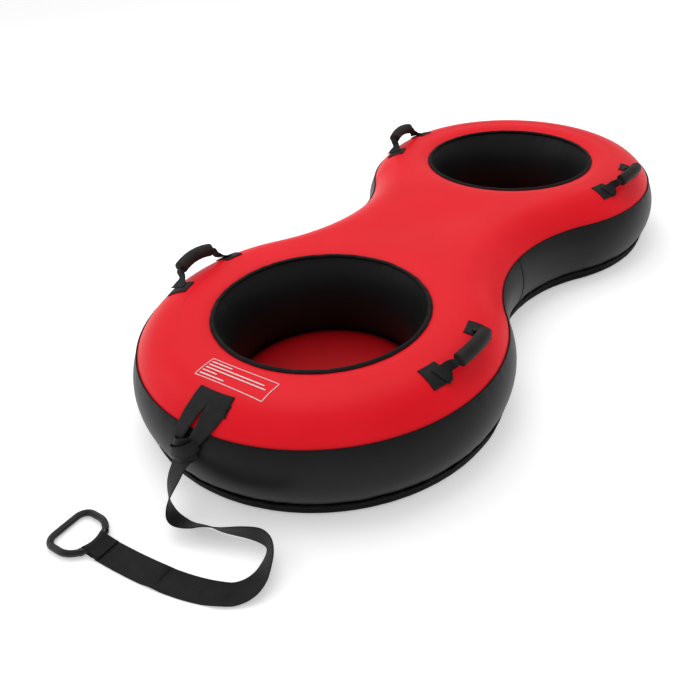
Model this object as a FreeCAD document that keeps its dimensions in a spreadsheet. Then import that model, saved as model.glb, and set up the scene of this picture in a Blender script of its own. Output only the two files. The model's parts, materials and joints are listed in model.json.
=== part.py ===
"""Two-rider towable tube: a figure-of-eight air tube in a sewn cover, with a tow strap.

Millimetres, +Z up. The tube rests on z = 0 with its middle at the origin, its length along Y
and its towing end at -Y. Each rider sits in a round well: the wells are half_spacing either
side of the middle. Radii named here are measured from a well's own upright axis, unless the
name says otherwise.
"""
import FreeCAD, Part
import math
import os
import Sketcher
from FreeCAD import Placement, Rotation, Vector

# ---------------------------------------------------------------- driving dimensions
SIZES = {
    # plan of the tube
    "half_spacing": 460, "outer_radius": 403, "waist_fillet": 394,
    # outline of the cover's cross-section, from the well's rim over the crown to the base
    "rim_radius": 225, "rim_height": 200, "lip_radius": 270, "lip_arc": 97.5,
    "crown_radius": 292, "crown_height": 211, "shoulder_arc": 105.4,
    "seam_radius": 384, "seam_height": 157, "side_arc": 121,
    "hem_radius": 386, "hem_height": 30, "base_radius": 372, "base_corner": 14,
    "well_foot_radius": 213, "well_foot_height": 8, "well_arc": 191,
    # cloth, bladder and trim
    "cover": 2, "cover_gap": 1.5, "bladder_wall": 1.5, "base_cloth": 2.5,
    "floor_thickness": 5.5, "floor_clearance": 1.5,
    "binding_radius": 4.4, "binding_offset": 3.2, "cord_radius": 1.5, "cord_offset": 1.6,
    # air valve in the stern, its axis along +Y
    "valve_height": 94, "valve_port": 25, "valve_flange": 22, "valve_barrel": 16,
    "valve_bore": 11, "valve_depth": 22, "flange_face": 402.3, "flange_thickness": 2,
    "cap_radius": 15, "cap_thickness": 5, "plug_radius": 10.6, "plug_depth": 8,
    "diaphragm_thickness": 1.2, "running_gap": 0.3,
    # zip round the port stern quarter
    "zip_height": 94, "zip_start": 112, "zip_sweep": 56, "zip_tape_half": 14,
    "zip_chain_half": 3, "zip_chain_thickness": 2.6, "zip_tape_thickness": 1,
    "slider_half": 6, "slider_sweep": 2.2, "slider_plate": 2.4,
    "pull_length": 24, "pull_width": 8, "pull_thickness": 1.6,
    # carrying handles
    "webbing": 2.4, "handle_axis_height": 10, "handle_half_span": 60, "patch_length": 45,
    "patch_inner_radius": 304, "patch_outer_radius": 350, "stub_radius": 5,
    "grip_radius": 15, "grip_half_length": 50, "grip_rise": 29, "grip_arch": 148,
    "core_half_length": 56.5, "foot_half_span": 49.5,
    # tow point, strap and D handle
    "strap_width": 50, "strap_thickness": 2.2, "tow_patch_inner": 325,
    "tow_patch_outer": 361, "tow_patch_sweep": 13.6, "tow_patch_turn": 1.4, "hitch_width": 60,
    "hitch_depth": 13, "hitch_height": 24,
    "bar_radius": 6.5, "bow_radius": 45.5, "grip_corner": 21.5, "bow_straight": 17,
    "ring_apex_x": -83, "ring_y": -1045, "bow_height": 9.4, "loop_half_angle": 30,
    "loop_tail_length": 14.9,
}
# Each handle: well (-1 front, +1 rear), side (-1 port, +1 starboard), turn of its middle
# round the well and its lean outwards from upright, in degrees.
HANDLES = {
    "front_left": (-1, -1, 1.2, 34), "front_right": (-1, 1, -1.2, 52),
    "rear_left": (1, -1, 4.0, 34), "rear_right": (1, 1, -4.0, 52),
}
# The strap's centre line from the hitch to the D handle's loop, and the direction across
# it towards its outboard edge. It drops off the bow on its face, rolls on to its edge
# round a narrow bight, and lies flat again on the way to the handle.
STRAP_ROUTE = [
    ((-15, -872, 111), (0.98, -0.18, 0.06)), ((-17, -886, 97), (0.92, -0.15, 0.36)),
    ((-19, -900, 81), (0.91, -0.27, 0.32)), ((-20, -913, 64), (0.82, -0.42, 0.38)),
    ((-16, -924, 48), (0.61, -0.45, 0.65)), ((-9, -932, 37), (0.44, -0.65, 0.62)),
    ((2, -938, 27), (0.26, -0.79, 0.55)), ((17, -939, 22), (0.25, -0.84, 0.48)),
    ((35, -935, 20), (0.40, -0.72, 0.57)), ((56, -927, 22), (0.50, -0.56, 0.66)),
    ((78, -918, 22), (0.53, -0.45, 0.72)), ((100, -913, 24.5), (0.48, -0.30, 0.82)),
    ((122, -904, 25.3), (0.42, -0.20, 0.88)), ((145, -894, 25.6), (0.32, -0.12, 0.94)),
    ((167, -889, 25.8), (0.27, -0.05, 0.96)), ((187, -893, 25.8), (0.37, -0.10, 0.92)),
    ((201, -908, 24.5), (0.58, -0.15, 0.80)), ((210, -928, 21), (0.72, -0.20, 0.66)),
    ((215, -950, 15.5), (0.85, -0.30, 0.43)), ((211, -972, 9), (0.86, -0.47, 0.20)),
    ((197, -991, 4.2), (0.75, -0.65, 0.08)), ((176, -1005, 2), (0.55, -0.83, 0)),
    ((150, -1014, 1.6), (0.42, -0.91, 0)), ((124, -1022, 1.6), (0.3, -0.95, 0)),
    ((97, -1028, 1.6), (0.2, -0.98, 0)), ((68, -1033, 1.6), (0.12, -0.99, 0)),
    ((36, -1037, 1.6), (0.08, -1, 0)), ((2, -1040, 1.6), (0.05, -1, 0)),
    ((-32, -1042, 1.6), (0.02, -1, 0)), ((-64, -1043, 1.6), (0, -1, 0)),
]
FOLD_POINTS = 5
DEGREE = math.pi / 180
UPRIGHT = Vector(0, 0, 1)

doc = FreeCAD.newDocument("towable_tube")
sheet = doc.addObject("Spreadsheet::Sheet", "Dims")
for row, (alias, number) in enumerate(SIZES.items(), 1):
    sheet.set(f"A{row}", alias)
    sheet.set(f"B{row}", str(number))
    sheet.setAlias(f"B{row}", alias)
doc.recompute()


# ---------------------------------------------------------------- shared ways of making
def dim(*terms):
    """A sum of sheet sizes, such as dim("seam_radius", "-cover"): its value and its formula."""
    names = [term.lstrip("-") for term in terms]
    signs = [-1 if term.startswith("-") else 1 for term in terms]
    value = sum(sign * float(sheet.get(name)) for sign, name in zip(signs, names))
    formula = "".join(f"{'-' if sign < 0 else '+'}Dims.{name}" for sign, name in zip(signs, names))
    return value, formula.lstrip("+")


def size(alias):
    return float(sheet.get(alias))


def cut_edge(start, end, arc):
    """A line, or an arc (radius, side its centre lies on), and which of its ends comes first."""
    if arc is None:
        return Part.LineSegment(start, end), 1, 2
    radius, side = arc[0][0], arc[1]
    chord = end - start
    across = Vector(-chord.y, chord.x, 0).normalize()
    centre = (start + end) * 0.5 + across * side * math.sqrt(radius**2 - chord.Length**2 / 4)
    first, last = (start, end) if side > 0 else (end, start)
    angles = [math.atan2(p.y - centre.y, p.x - centre.x) for p in (first, last)]
    if angles[1] < angles[0]:
        angles[1] += 2 * math.pi
    curve = Part.ArcOfCircle(Part.Circle(centre, Vector(0, 0, 1), radius), *angles)
    return (curve, 1, 2) if side > 0 else (curve, 2, 1)


def new_sketch(body, name, plane):
    sketch = body.newObject("Sketcher::SketchObject", name)
    face = next(f for f in body.Origin.OriginFeatures if f.Role == plane)
    sketch.AttachmentSupport = (face, "")
    sketch.MapMode = "FlatFace"
    return sketch


def bind(sketch, constraint, formula):
    index = sketch.addConstraint(constraint)
    sketch.setExpression(f"Constraints[{index}]", formula)


def draw_profile(sketch, corners):
    """A closed profile: each corner is (across, up, arc to the next corner or None)."""
    points = [Vector(across[0], up[0], 0) for across, up, arc in corners]
    edges = []
    for i, (across, up, arc) in enumerate(corners):
        curve, first, last = cut_edge(points[i], points[(i + 1) % len(points)], arc)
        edges.append((sketch.addGeometry(curve, False), first, last))
    for i, (geometry, first, last) in enumerate(edges):
        after, after_first, _ = edges[(i + 1) % len(edges)]
        sketch.addConstraint(Sketcher.Constraint("Coincident", geometry, last, after, after_first))
    for (geometry, first, last), (across, up, arc) in zip(edges, corners):
        at = (-1, 1, geometry, first)
        bind(sketch, Sketcher.Constraint("DistanceX", *at, across[0]), across[1])
        if up[0]:
            bind(sketch, Sketcher.Constraint("DistanceY", *at, up[0]), up[1])
        else:
            sketch.addConstraint(Sketcher.Constraint("PointOnObject", geometry, first, -1))
        if arc:
            bind(sketch, Sketcher.Constraint("Radius", geometry, arc[0][0]), arc[0][1])


def draw_round(sketch, across, up, radius):
    """A round profile, such as a piping cord's."""
    circle = Part.Circle(Vector(across[0], up[0], 0), Vector(0, 0, 1), radius[0])
    ring = sketch.addGeometry(circle, False)
    bind(sketch, Sketcher.Constraint("DistanceX", -1, 1, ring, 3, across[0]), across[1])
    bind(sketch, Sketcher.Constraint("DistanceY", -1, 1, ring, 3, up[0]), up[1])
    bind(sketch, Sketcher.Constraint("Radius", ring, radius[0]), radius[1])


def revolve(body, name, corners, centre, start=0.0, sweep=360.0):
    """Turn a (radius, height) profile about the upright axis at centre, from angle start."""
    sketch = new_sketch(body, f"{name}_profile", "XZ_Plane")
    sketch.AttachmentOffset = Placement(
        Vector(centre[0], 0, -centre[1]), Rotation(Vector(0, 1, 0), start))
    if isinstance(corners, tuple):
        draw_round(sketch, *corners)
    else:
        draw_profile(sketch, corners)
    feature = body.newObject("PartDesign::Revolution", name)
    feature.Profile = (sketch, [""])
    feature.ReferenceAxis = (sketch, ["V_Axis"])
    feature.Angle = sweep
    feature.Refine = False
    return feature


WAIST_X = math.sqrt((size("outer_radius") + size("waist_fillet"))**2 - size("half_spacing")**2)
TANGENT = math.atan2(size("half_spacing"), WAIST_X) / DEGREE
FRONT = (0, -size("half_spacing"))
REAR = (0, size("half_spacing"))
BENDS = {"front": (FRONT, 180 - TANGENT, 180 + 2 * TANGENT),
         "rear": (REAR, -TANGENT, 180 + 2 * TANGENT)}
WAISTS = {"starboard": ((WAIST_X, 0), 180 - TANGENT, 2 * TANGENT),
          "port": ((-WAIST_X, 0), -TANGENT, 2 * TANGENT)}
FRONT_WAISTS = {"starboard": ((WAIST_X, 0), 180, TANGENT), "port": ((-WAIST_X, 0), -TANGENT, TANGENT)}
REAR_WAISTS = {"starboard": ((WAIST_X, 0), 180 - TANGENT, TANGENT), "port": ((-WAIST_X, 0), 0, TANGENT)}


def from_fillet(radius):
    """A radius from a well's axis, as measured from the waist fillet's axis instead."""
    value = size("outer_radius") + size("waist_fillet") - radius[0]
    return value, f"Dims.outer_radius+Dims.waist_fillet-({radius[1]})"


def mirrored(corners):
    """The same profile as the waist sees it, with radii measured from the fillet's axis."""
    if isinstance(corners, tuple):
        return (from_fillet(corners[0]),) + corners[1:]
    return [(from_fillet(across), up, arc and (arc[0], -arc[1])) for across, up, arc in corners]


def run_round(body, corners, bends, waists):
    """Carry a profile round the figure of eight: the big bends, then the waist's fillets."""
    for name, (centre, start, sweep) in bends.items():
        revolve(body, f"{body.Name}_{name}", corners, centre, start, sweep)
    for name, (centre, start, sweep) in waists.items():
        revolve(body, f"{body.Name}_{name}", mirrored(corners), centre, start, sweep)


def eight_plate(body, radius, bottom, top, hole=None):
    """A flat plate with the figure of eight's outline at a radius, and two round holes."""
    sketch = new_sketch(body, f"{body.Name}_outline", "XY_Plane")
    sketch.AttachmentOffset = Placement(Vector(0, 0, bottom[0]), Rotation())
    sketch.setExpression("AttachmentOffset.Base.z", bottom[1])
    order = [(BENDS["front"], radius), (WAISTS["starboard"], from_fillet(radius)),
             (BENDS["rear"], radius), (WAISTS["port"], from_fillet(radius))]
    arcs = []
    for (centre, start, sweep), reach in order:
        circle = Part.Circle(Vector(*centre, 0), Vector(0, 0, 1), reach[0])
        arc = Part.ArcOfCircle(circle, start * DEGREE, (start + sweep) * DEGREE)
        arcs.append(sketch.addGeometry(arc, False))
        bind(sketch, Sketcher.Constraint("Radius", arcs[-1], reach[0]), reach[1])
    for arc, sign in ((arcs[0], -1), (arcs[2], 1)):
        sketch.addConstraint(Sketcher.Constraint("PointOnObject", arc, 3, -2))
        spacing = Sketcher.Constraint("DistanceY", -1, 1, arc, 3, sign * size("half_spacing"))
        bind(sketch, spacing, f"{sign}*Dims.half_spacing")
    front, starboard, rear, port = arcs
    for one, one_end, other, other_end in ((front, 2, starboard, 2), (starboard, 1, rear, 1),
                                           (rear, 2, port, 2), (port, 1, front, 1)):
        sketch.addConstraint(Sketcher.Constraint("Tangent", one, one_end, other, other_end))
    if hole:
        for arc, centre in ((front, FRONT), (rear, REAR)):
            circle = Part.Circle(Vector(*centre, 0), Vector(0, 0, 1), hole[0])
            ring = sketch.addGeometry(circle, False)
            sketch.addConstraint(Sketcher.Constraint("Coincident", ring, 3, arc, 3))
            bind(sketch, Sketcher.Constraint("Radius", ring, hole[0]), hole[1])
    pad = body.newObject("PartDesign::Pad", f"{body.Name}_plate")
    pad.Profile = (sketch, [""])
    pad.Length = top[0] - bottom[0]
    pad.setExpression("Length", f"{top[1]}-({bottom[1]})")
    pad.Refine = False


def new_body(name):
    body = doc.addObject("PartDesign::Body", name)
    body.Label = name
    return body


def solid_feature(name, shape):
    """A sub-part whose shape no sketch or primitive gives: sewn webbing and the like."""
    feature = doc.addObject("Part::Feature", name)
    feature.Label = name
    feature.Shape = shape
    return feature


def webbing_solid(edge_pairs, thickness):
    """A closed solid of flat webbing through pairs of points on its two edges."""
    left = [Vector(*pair[0]) for pair in edge_pairs]
    right = [Vector(*pair[1]) for pair in edge_pairs]
    middle = [(a + b) * 0.5 for a, b in zip(left, right)]
    loops = []
    for i, (a, b) in enumerate(zip(left, right)):
        along = middle[min(i + 1, len(middle) - 1)] - middle[max(i - 1, 0)]
        lift = along.cross(b - a).normalize() * (thickness / 2)
        loops.append([a + lift, b + lift, b - lift, a - lift])
    triangles = [(loops[0][0], loops[0][1], loops[0][2]), (loops[0][0], loops[0][2], loops[0][3])]
    triangles += [(loops[-1][2], loops[-1][1], loops[-1][0]), (loops[-1][3], loops[-1][2], loops[-1][0])]
    for near, far in zip(loops, loops[1:]):
        for k in range(4):
            m = (k + 1) % 4
            triangles.append((near[k], far[k], far[m]))
            triangles.append((near[k], far[m], near[m]))
    faces = [Part.Face(Part.makePolygon([a, b, c, a])) for a, b, c in triangles]
    shape = Part.makeSolid(Part.makeShell(faces))
    if shape.Volume < 0:
        shape.reverse()
    return shape


# ---------------------------------------------------------------- sewn cover
BACK = "-cover"
ZERO = (0.0, "0")
SHOULDER = [
    (dim("crown_radius"), dim("crown_height"), (dim("shoulder_arc"), -1)),
    (dim("seam_radius"), dim("seam_height"), None),
    (dim("seam_radius", BACK), dim("seam_height"), (dim("shoulder_arc", BACK), 1)),
    (dim("crown_radius"), dim("crown_height", BACK), None),
]
LIP = [
    (dim("rim_radius"), dim("rim_height"), (dim("lip_arc"), -1)),
    (dim("lip_radius"), dim("crown_height"), None),
    (dim("lip_radius"), dim("crown_height", BACK), (dim("lip_arc"), 1)),
    (dim("rim_radius", "cover"), dim("rim_height"), None),
]
SIDE = [
    (dim("seam_radius"), dim("seam_height"), (dim("side_arc"), -1)),
    (dim("hem_radius"), dim("hem_height"), None),
    (dim("hem_radius", BACK), dim("hem_height"), (dim("side_arc", BACK), 1)),
    (dim("seam_radius", BACK), dim("seam_height"), None),
]
WELL_WALL = [
    (dim("rim_radius"), dim("rim_height"), None),
    (dim("rim_radius", "cover"), dim("rim_height"), (dim("well_arc", BACK), 1)),
    (dim("well_foot_radius", "cover"), dim("well_foot_height"), None),
    (dim("well_foot_radius"), dim("well_foot_height"), (dim("well_arc"), -1)),
]
BASE_RIM = [
    (dim("base_radius"), ZERO, (dim("base_corner"), 1)),
    (dim("hem_radius"), dim("base_corner"), None),
    (dim("hem_radius"), dim("hem_height"), None),
    (dim("hem_radius", BACK), dim("hem_height"), None),
    (dim("hem_radius", BACK), dim("base_corner"), (dim("base_corner", BACK), -1)),
    (dim("base_radius"), dim("base_cloth"), None),
]
SEAM_CORD = (dim("seam_radius", "cord_offset"), dim("seam_height", "cord_radius"), dim("cord_radius"))
WELLS = {"front": FRONT, "rear": REAR}

# Red top panel: a flat crown plate, a shoulder round the outside and a lip round each well.
top_panel = new_body("top_panel")
eight_plate(top_panel, dim("crown_radius"), dim("crown_height", BACK), dim("crown_height"),
            dim("lip_radius"))
run_round(top_panel, SHOULDER, BENDS, WAISTS)
for end, centre in WELLS.items():
    revolve(top_panel, f"{end}_lip", LIP, centre)

# Black side panels, sewn to each other at the waist; the stern one has a port for the valve.
front_side_panel = new_body("front_side_panel")
run_round(front_side_panel, SIDE, {"front": BENDS["front"]}, FRONT_WAISTS)
rear_side_body = new_body("rear_side_body")
run_round(rear_side_body, SIDE, {"rear": BENDS["rear"]}, REAR_WAISTS)

# Black bottom panel, the strip sewn round it that turns up as a hem, and the top seam's cord.
bottom_panel = new_body("bottom_panel")
eight_plate(bottom_panel, dim("base_radius"), ZERO, dim("base_cloth"))
base_hem = new_body("base_hem")
run_round(base_hem, BASE_RIM, BENDS, WAISTS)
top_seam_cord = new_body("top_seam_cord")
run_round(top_seam_cord, SEAM_CORD, BENDS, WAISTS)


def primitive(kind, name, spot=Vector(), turn=Rotation(), **sizes):
    """A Part primitive, each size bound to its formula, or set where it is a plain number."""
    shape = doc.addObject(kind, name)
    shape.Label = name
    shape.Placement = Placement(spot, turn)
    for prop, (value, formula) in sizes.items():
        setattr(shape, prop, value)
        if formula:
            shape.setExpression(prop, formula)
    return shape


# Each well: its black wall, its red foam-backed floor and the binding on its rim.
for end, centre in WELLS.items():
    wall = new_body(f"{end}_well_wall")
    revolve(wall, f"{end}_wall_turned", WELL_WALL, centre)
    primitive("Part::Cylinder", f"{end}_seat_floor", Vector(*centre, size("base_cloth")),
              Radius=dim("well_foot_radius", "-floor_clearance"), Height=dim("floor_thickness"))
    primitive("Part::Torus", f"{end}_rim_binding",
              Vector(*centre, dim("rim_height", "binding_offset")[0]),
              Radius1=dim("rim_radius", "-binding_offset"), Radius2=dim("binding_radius"))


# ---------------------------------------------------------------- air bladder and valve
def bladder_form(name, layers):
    """The filled figure of eight that lies these layers inside the cover's outline."""
    back = [f"-{layer}" for layer in layers]
    floor = dim("base_cloth", *layers[1:])
    body = new_body(name)
    eight_plate(body, dim("crown_radius"), floor, dim("crown_height", *back), dim("lip_radius"))
    outside = [
        (dim("crown_radius"), dim("crown_height", *back), (dim("shoulder_arc", *back), -1)),
        (dim("seam_radius", *back), dim("seam_height"), (dim("side_arc", *back), -1)),
        (dim("hem_radius", *back), dim("hem_height"), None),
        (dim("base_radius", *back), floor, None),
        (dim("crown_radius"), floor, None),
    ]
    inside = [
        (dim("rim_radius", "cover_gap", *layers), dim("rim_height", *back), (dim("lip_arc"), -1)),
        (dim("lip_radius"), dim("crown_height", *back), None),
        (dim("lip_radius"), floor, None),
        (dim("well_foot_radius", "cover_gap", *layers), floor, (dim("well_arc", *back), -1)),
    ]
    run_round(body, outside, BENDS, WAISTS)
    for end, centre in WELLS.items():
        revolve(body, f"{name}_{end}_inside", inside, centre)
    return body


def boolean(kind, name, base, tool):
    result = doc.addObject(kind, name)
    result.Label = name
    result.Base = base
    result.Tool = tool
    return result


ASTERN = Rotation(Vector(1, 0, 0), -90)


def valve_round(name, radius, face, depth):
    """A cylinder on the valve's axis, from its outer face (from the well's axis) inwards."""
    spot = Vector(0, REAR[1] + face[0] - depth[0], size("valve_height"))
    return primitive("Part::Cylinder", name, spot, ASTERN, Radius=radius, Height=depth)


FACE = dim("flange_face")
THROUGH = dim("valve_depth", "valve_depth")
bladder_skin = boolean("Part::Cut", "bladder_skin", bladder_form("bladder_outside", ["cover", "cover_gap"]),
                       bladder_form("bladder_air", ["cover", "cover_gap", "bladder_wall"]))
barrel_hole = valve_round("barrel_hole", dim("valve_barrel", "running_gap"), FACE, THROUGH)
boolean("Part::Cut", "bladder", bladder_skin, barrel_hole)
port_hole = valve_round("port_hole", dim("valve_port"), dim("flange_face", "valve_depth"), THROUGH)
boolean("Part::Cut", "rear_side_panel", rear_side_body, port_hole)

flange = valve_round("flange", dim("valve_flange"), FACE, dim("flange_thickness"))
barrel = valve_round("barrel", dim("valve_barrel"), FACE, dim("valve_depth"))
blank = boolean("Part::Fuse", "valve_blank", flange, barrel)
bore = valve_round("valve_bore_tool", dim("valve_bore"), dim("flange_face", "cap_thickness"), THROUGH)
boolean("Part::Cut", "valve_base", blank, bore)
inner_end = dim("flange_face", "-valve_depth", "diaphragm_thickness", "running_gap")
valve_round("valve_diaphragm", dim("valve_bore", "-running_gap"), inner_end, dim("diaphragm_thickness"))
cap_top = dim("flange_face", "running_gap", "cap_thickness")
lid = valve_round("cap_lid", dim("cap_radius"), cap_top, dim("cap_thickness"))
plug = valve_round("cap_plug", dim("plug_radius"), cap_top, dim("cap_thickness", "plug_depth"))
boolean("Part::Fuse", "valve_cap", lid, plug)


# ---------------------------------------------------------------- zip in the stern side panel
def band(low, high, inner, outer):
    """A rectangular profile between two heights and two radii."""
    return [(inner, high, None), (outer, high, None), (outer, low, None), (inner, low, None)]


TAPE_IN = dim("outer_radius", "running_gap")
TAPE_OUT = dim("outer_radius", "running_gap", "zip_tape_thickness")
CHAIN_OUT = dim("outer_radius", "running_gap", "zip_tape_thickness", "zip_chain_thickness")
PLATE_IN = dim("outer_radius", "running_gap", "running_gap", "zip_tape_thickness", "zip_chain_thickness")
PLATE_OUT = dim("outer_radius", "running_gap", "running_gap", "zip_tape_thickness",
                "zip_chain_thickness", "slider_plate")
LIP_IN = dim("outer_radius", "running_gap", "running_gap", "zip_tape_thickness")


def above(*terms):
    return dim("zip_height", *terms)


def zip_piece(name, profile, start, sweep):
    body = new_body(name)
    revolve(body, f"{name}_turned", profile, REAR, start, sweep)
    return body


slider_start = size("zip_start") + size("zip_sweep") - size("slider_sweep") - 1
SLIDER = [
    (PLATE_OUT, above("slider_half"), None), (PLATE_OUT, above("-slider_half"), None),
    (LIP_IN, above("-slider_half"), None), (LIP_IN, above("-zip_chain_half", "-running_gap"), None),
    (PLATE_IN, above("-zip_chain_half", "-running_gap"), None),
    (PLATE_IN, above("zip_chain_half", "running_gap"), None),
    (LIP_IN, above("zip_chain_half", "running_gap"), None), (LIP_IN, above("slider_half"), None),
]
zip_piece("zip_tape", band(above("-zip_tape_half"), above("zip_tape_half"), TAPE_IN, TAPE_OUT),
          size("zip_start"), size("zip_sweep"))
zip_piece("zip_chain", band(above("-zip_chain_half"), above("zip_chain_half"), TAPE_OUT, CHAIN_OUT),
          size("zip_start"), size("zip_sweep"))
zip_piece("zip_slider", SLIDER, slider_start, size("slider_sweep"))
pull_angle = slider_start + size("slider_sweep") / 2
pull_turn = Rotation(UPRIGHT, pull_angle - 90)
pull_reach = PLATE_OUT[0] + 1.5 * size("running_gap")
pull_out = Rotation(UPRIGHT, pull_angle).multVec(Vector(pull_reach, 0, 0))
pull_corner = Vector(0, 0, -size("pull_width") / 2)
primitive("Part::Box", "zip_pull", pull_out + pull_corner + Vector(*REAR, size("zip_height")), pull_turn,
          Length=dim("pull_length"), Width=dim("pull_thickness"), Height=dim("pull_width"))


# ---------------------------------------------------------------- carrying handles
SHOULDER_Z = size("crown_height") - size("shoulder_arc")


def shoulder_lean(radius):
    """How far the cover's normal leans outwards from upright at a radius, in radians."""
    return math.asin((radius - size("crown_radius")) / size("shoulder_arc"))


def sewn_patch(well, start, sweep, inner, outer):
    """Webbing sewn flat on the shoulder: a band of it, turned about the well's axis."""
    reach = [size("shoulder_arc") + step for step in (0.1, 0.1 + size("webbing"))]
    leans = [shoulder_lean(inner), shoulder_lean(outer)]
    leans.insert(1, sum(leans) / 2)
    spots = [[Vector(size("crown_radius") + r * math.sin(a), 0, SHOULDER_Z + r * math.cos(a))
              for a in leans] for r in reach]
    edges = [Part.Arc(*spots[0]).toShape(), Part.makeLine(spots[0][2], spots[1][2]),
             Part.Arc(*spots[1]).toShape(), Part.makeLine(spots[1][0], spots[0][0])]
    face = Part.Face(Part.Wire(Part.__sortEdges__(edges)))
    face.Placement = Placement(Vector(*well, 0), Rotation(UPRIGHT, start))
    return face.revolve(Vector(*well, 0), UPRIGHT, sweep)


def handle_frame(well_sign, side, turn, lean):
    """The handle's hinge line on the cover: its middle, and the directions it works in."""
    angle = (0 if side > 0 else 180) + turn
    out = Rotation(UPRIGHT, angle).multVec(Vector(1, 0, 0))
    along = UPRIGHT.cross(out)
    middle_radius = (size("patch_inner_radius") + size("patch_outer_radius")) / 2
    slope = shoulder_lean(middle_radius)
    normal = out * math.sin(slope) + Vector(0, 0, math.cos(slope))
    surface = Vector(*((REAR if well_sign > 0 else FRONT)), SHOULDER_Z + size("shoulder_arc") * math.cos(slope))
    surface += out * middle_radius
    rise = out * math.sin(lean * DEGREE) + Vector(0, 0, math.cos(lean * DEGREE))
    return angle, along, normal, surface, rise


def above_cover(well, spot, lift):
    """The point this far above the shoulder, over a spot in plan."""
    out = Vector(spot.x - well[0], spot.y - well[1], 0)
    lean = shoulder_lean(out.Length)
    reach = size("shoulder_arc") + lift
    rise = Vector(*well, SHOULDER_Z + reach * math.cos(lean))
    return rise + out.normalize() * (size("crown_radius") + reach * math.sin(lean))


def placed(centre, x_axis, z_axis):
    """A placement with its own x and z along these directions."""
    y_axis = z_axis.cross(x_axis)
    return Placement(centre, Rotation(x_axis, y_axis, z_axis, "ZXY"))


# A tab gathers from its patch up to the hinge line: how far along, half its width, its lift.
TAB_RAMP = ((16, 17, 1.4), (9, 14, 2.8), (3, 8.5, 7.5))
TAB_TOP = (-1.8, 6.0)
for name, (well_sign, side, turn, lean) in HANDLES.items():
    well = REAR if well_sign > 0 else FRONT
    angle, along, normal, surface, rise = handle_frame(well_sign, side, turn, lean)
    hinge = surface + normal * size("handle_axis_height")
    across = along.cross(normal)
    middle_radius = (size("patch_inner_radius") + size("patch_outer_radius")) / 2
    half_span = size("handle_half_span") / middle_radius / DEGREE
    patch_sweep = size("patch_length") / middle_radius / DEGREE
    for tab, sign in (("first", 1), ("second", -1)):
        start = angle + (half_span if sign > 0 else -half_span - patch_sweep)
        patch = sewn_patch(well, start, patch_sweep, size("patch_inner_radius"), size("patch_outer_radius"))
        ramp_edges = []
        for step, half_width, lift in TAB_RAMP:
            spot = surface + along * sign * (size("handle_half_span") + step)
            spot = above_cover(well, spot, lift)
            ramp_edges.append((spot - across * half_width, spot + across * half_width))
        spot = hinge + along * sign * (size("handle_half_span") + TAB_TOP[0])
        ramp_edges.append((spot - across * TAB_TOP[1], spot + across * TAB_TOP[1]))
        ramp = webbing_solid(ramp_edges, size("webbing"))
        solid_feature(f"{name}_handle_{tab}_tab", patch.fuse(ramp))
    arch_centre = hinge + rise * (size("grip_rise") - size("grip_arch"))
    plane = rise.cross(along)

    def arch_piece(label, half_length, radius):
        """A stretch of the grip's arch, this long either way of its middle."""
        half_sweep = math.asin(half_length / size("grip_arch")) / DEGREE
        at = placed(arch_centre, Rotation(plane, -half_sweep).multVec(rise), plane)
        piece = primitive("Part::Torus", f"{name}_{label}", at.Base, at.Rotation, Radius1=dim("grip_arch"),
                          Radius2=radius, Angle3=(2 * half_sweep, None))
        ends = [arch_centre + Rotation(plane, turn).multVec(rise) * size("grip_arch")
                for turn in (half_sweep, -half_sweep)]
        return piece, ends

    sleeve, _ = arch_piece("sleeve", size("grip_half_length"), dim("grip_radius"))
    sleeve_bore, _ = arch_piece("sleeve_bore", size("core_half_length"), dim("stub_radius", "running_gap"))
    boolean("Part::Cut", f"{name}_handle_grip", sleeve, sleeve_bore)
    core, ends = arch_piece("core", size("core_half_length"), dim("stub_radius"))
    pieces = [core]
    for leg, top in zip(("leg_a", "leg_b"), ends):
        side_sign = 1 if (top - hinge).dot(along) > 0 else -1
        foot = hinge + along * side_sign * size("foot_half_span")
        reach = top - foot
        pieces.append(primitive("Part::Cylinder", f"{name}_{leg}", foot, Rotation(UPRIGHT, reach),
                                Radius=dim("stub_radius"), Height=(reach.Length, None)))
        for spot, end in ((foot, "foot"), (top, "top")):
            pieces.append(primitive("Part::Sphere", f"{name}_{leg}_{end}", spot, Radius=dim("stub_radius")))
    strap = doc.addObject("Part::MultiFuse", f"{name}_handle_strap")
    strap.Label = f"{name}_handle_strap"
    strap.Shapes = pieces
    strap.Refine = False

# ---------------------------------------------------------------- tow point
tow_start = -90 + size("tow_patch_turn") - size("tow_patch_sweep") / 2
solid_feature("tow_patch", sewn_patch(FRONT, tow_start, size("tow_patch_sweep"),
                                      size("tow_patch_inner"), size("tow_patch_outer")))
# The tow loop: webbing whose two ends lie side by side on the patch, gathered at the bow.
LEGS = {
    "tow_loop_port_leg": [((-33, -824, 189), (1, -826, 188)), ((-41, -846, 161), (-9, -846, 165)),
                          ((-46, -869, 134), (-16, -869, 137))],
    "tow_loop_starboard_leg": [((3, -826, 188), (49, -819, 191)), ((0, -848, 162), (31, -848, 160)),
                               ((-12, -869, 137), (14, -867, 137))],
}
for name, edge_pairs in LEGS.items():
    solid_feature(name, webbing_solid(edge_pairs, size("webbing")))
HITCH_SPOT = Vector(-46, -877, 112)
primitive("Part::Box", "tow_strap_hitch", HITCH_SPOT,
          Length=dim("hitch_width"), Width=dim("hitch_depth"), Height=dim("hitch_height"))


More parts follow.
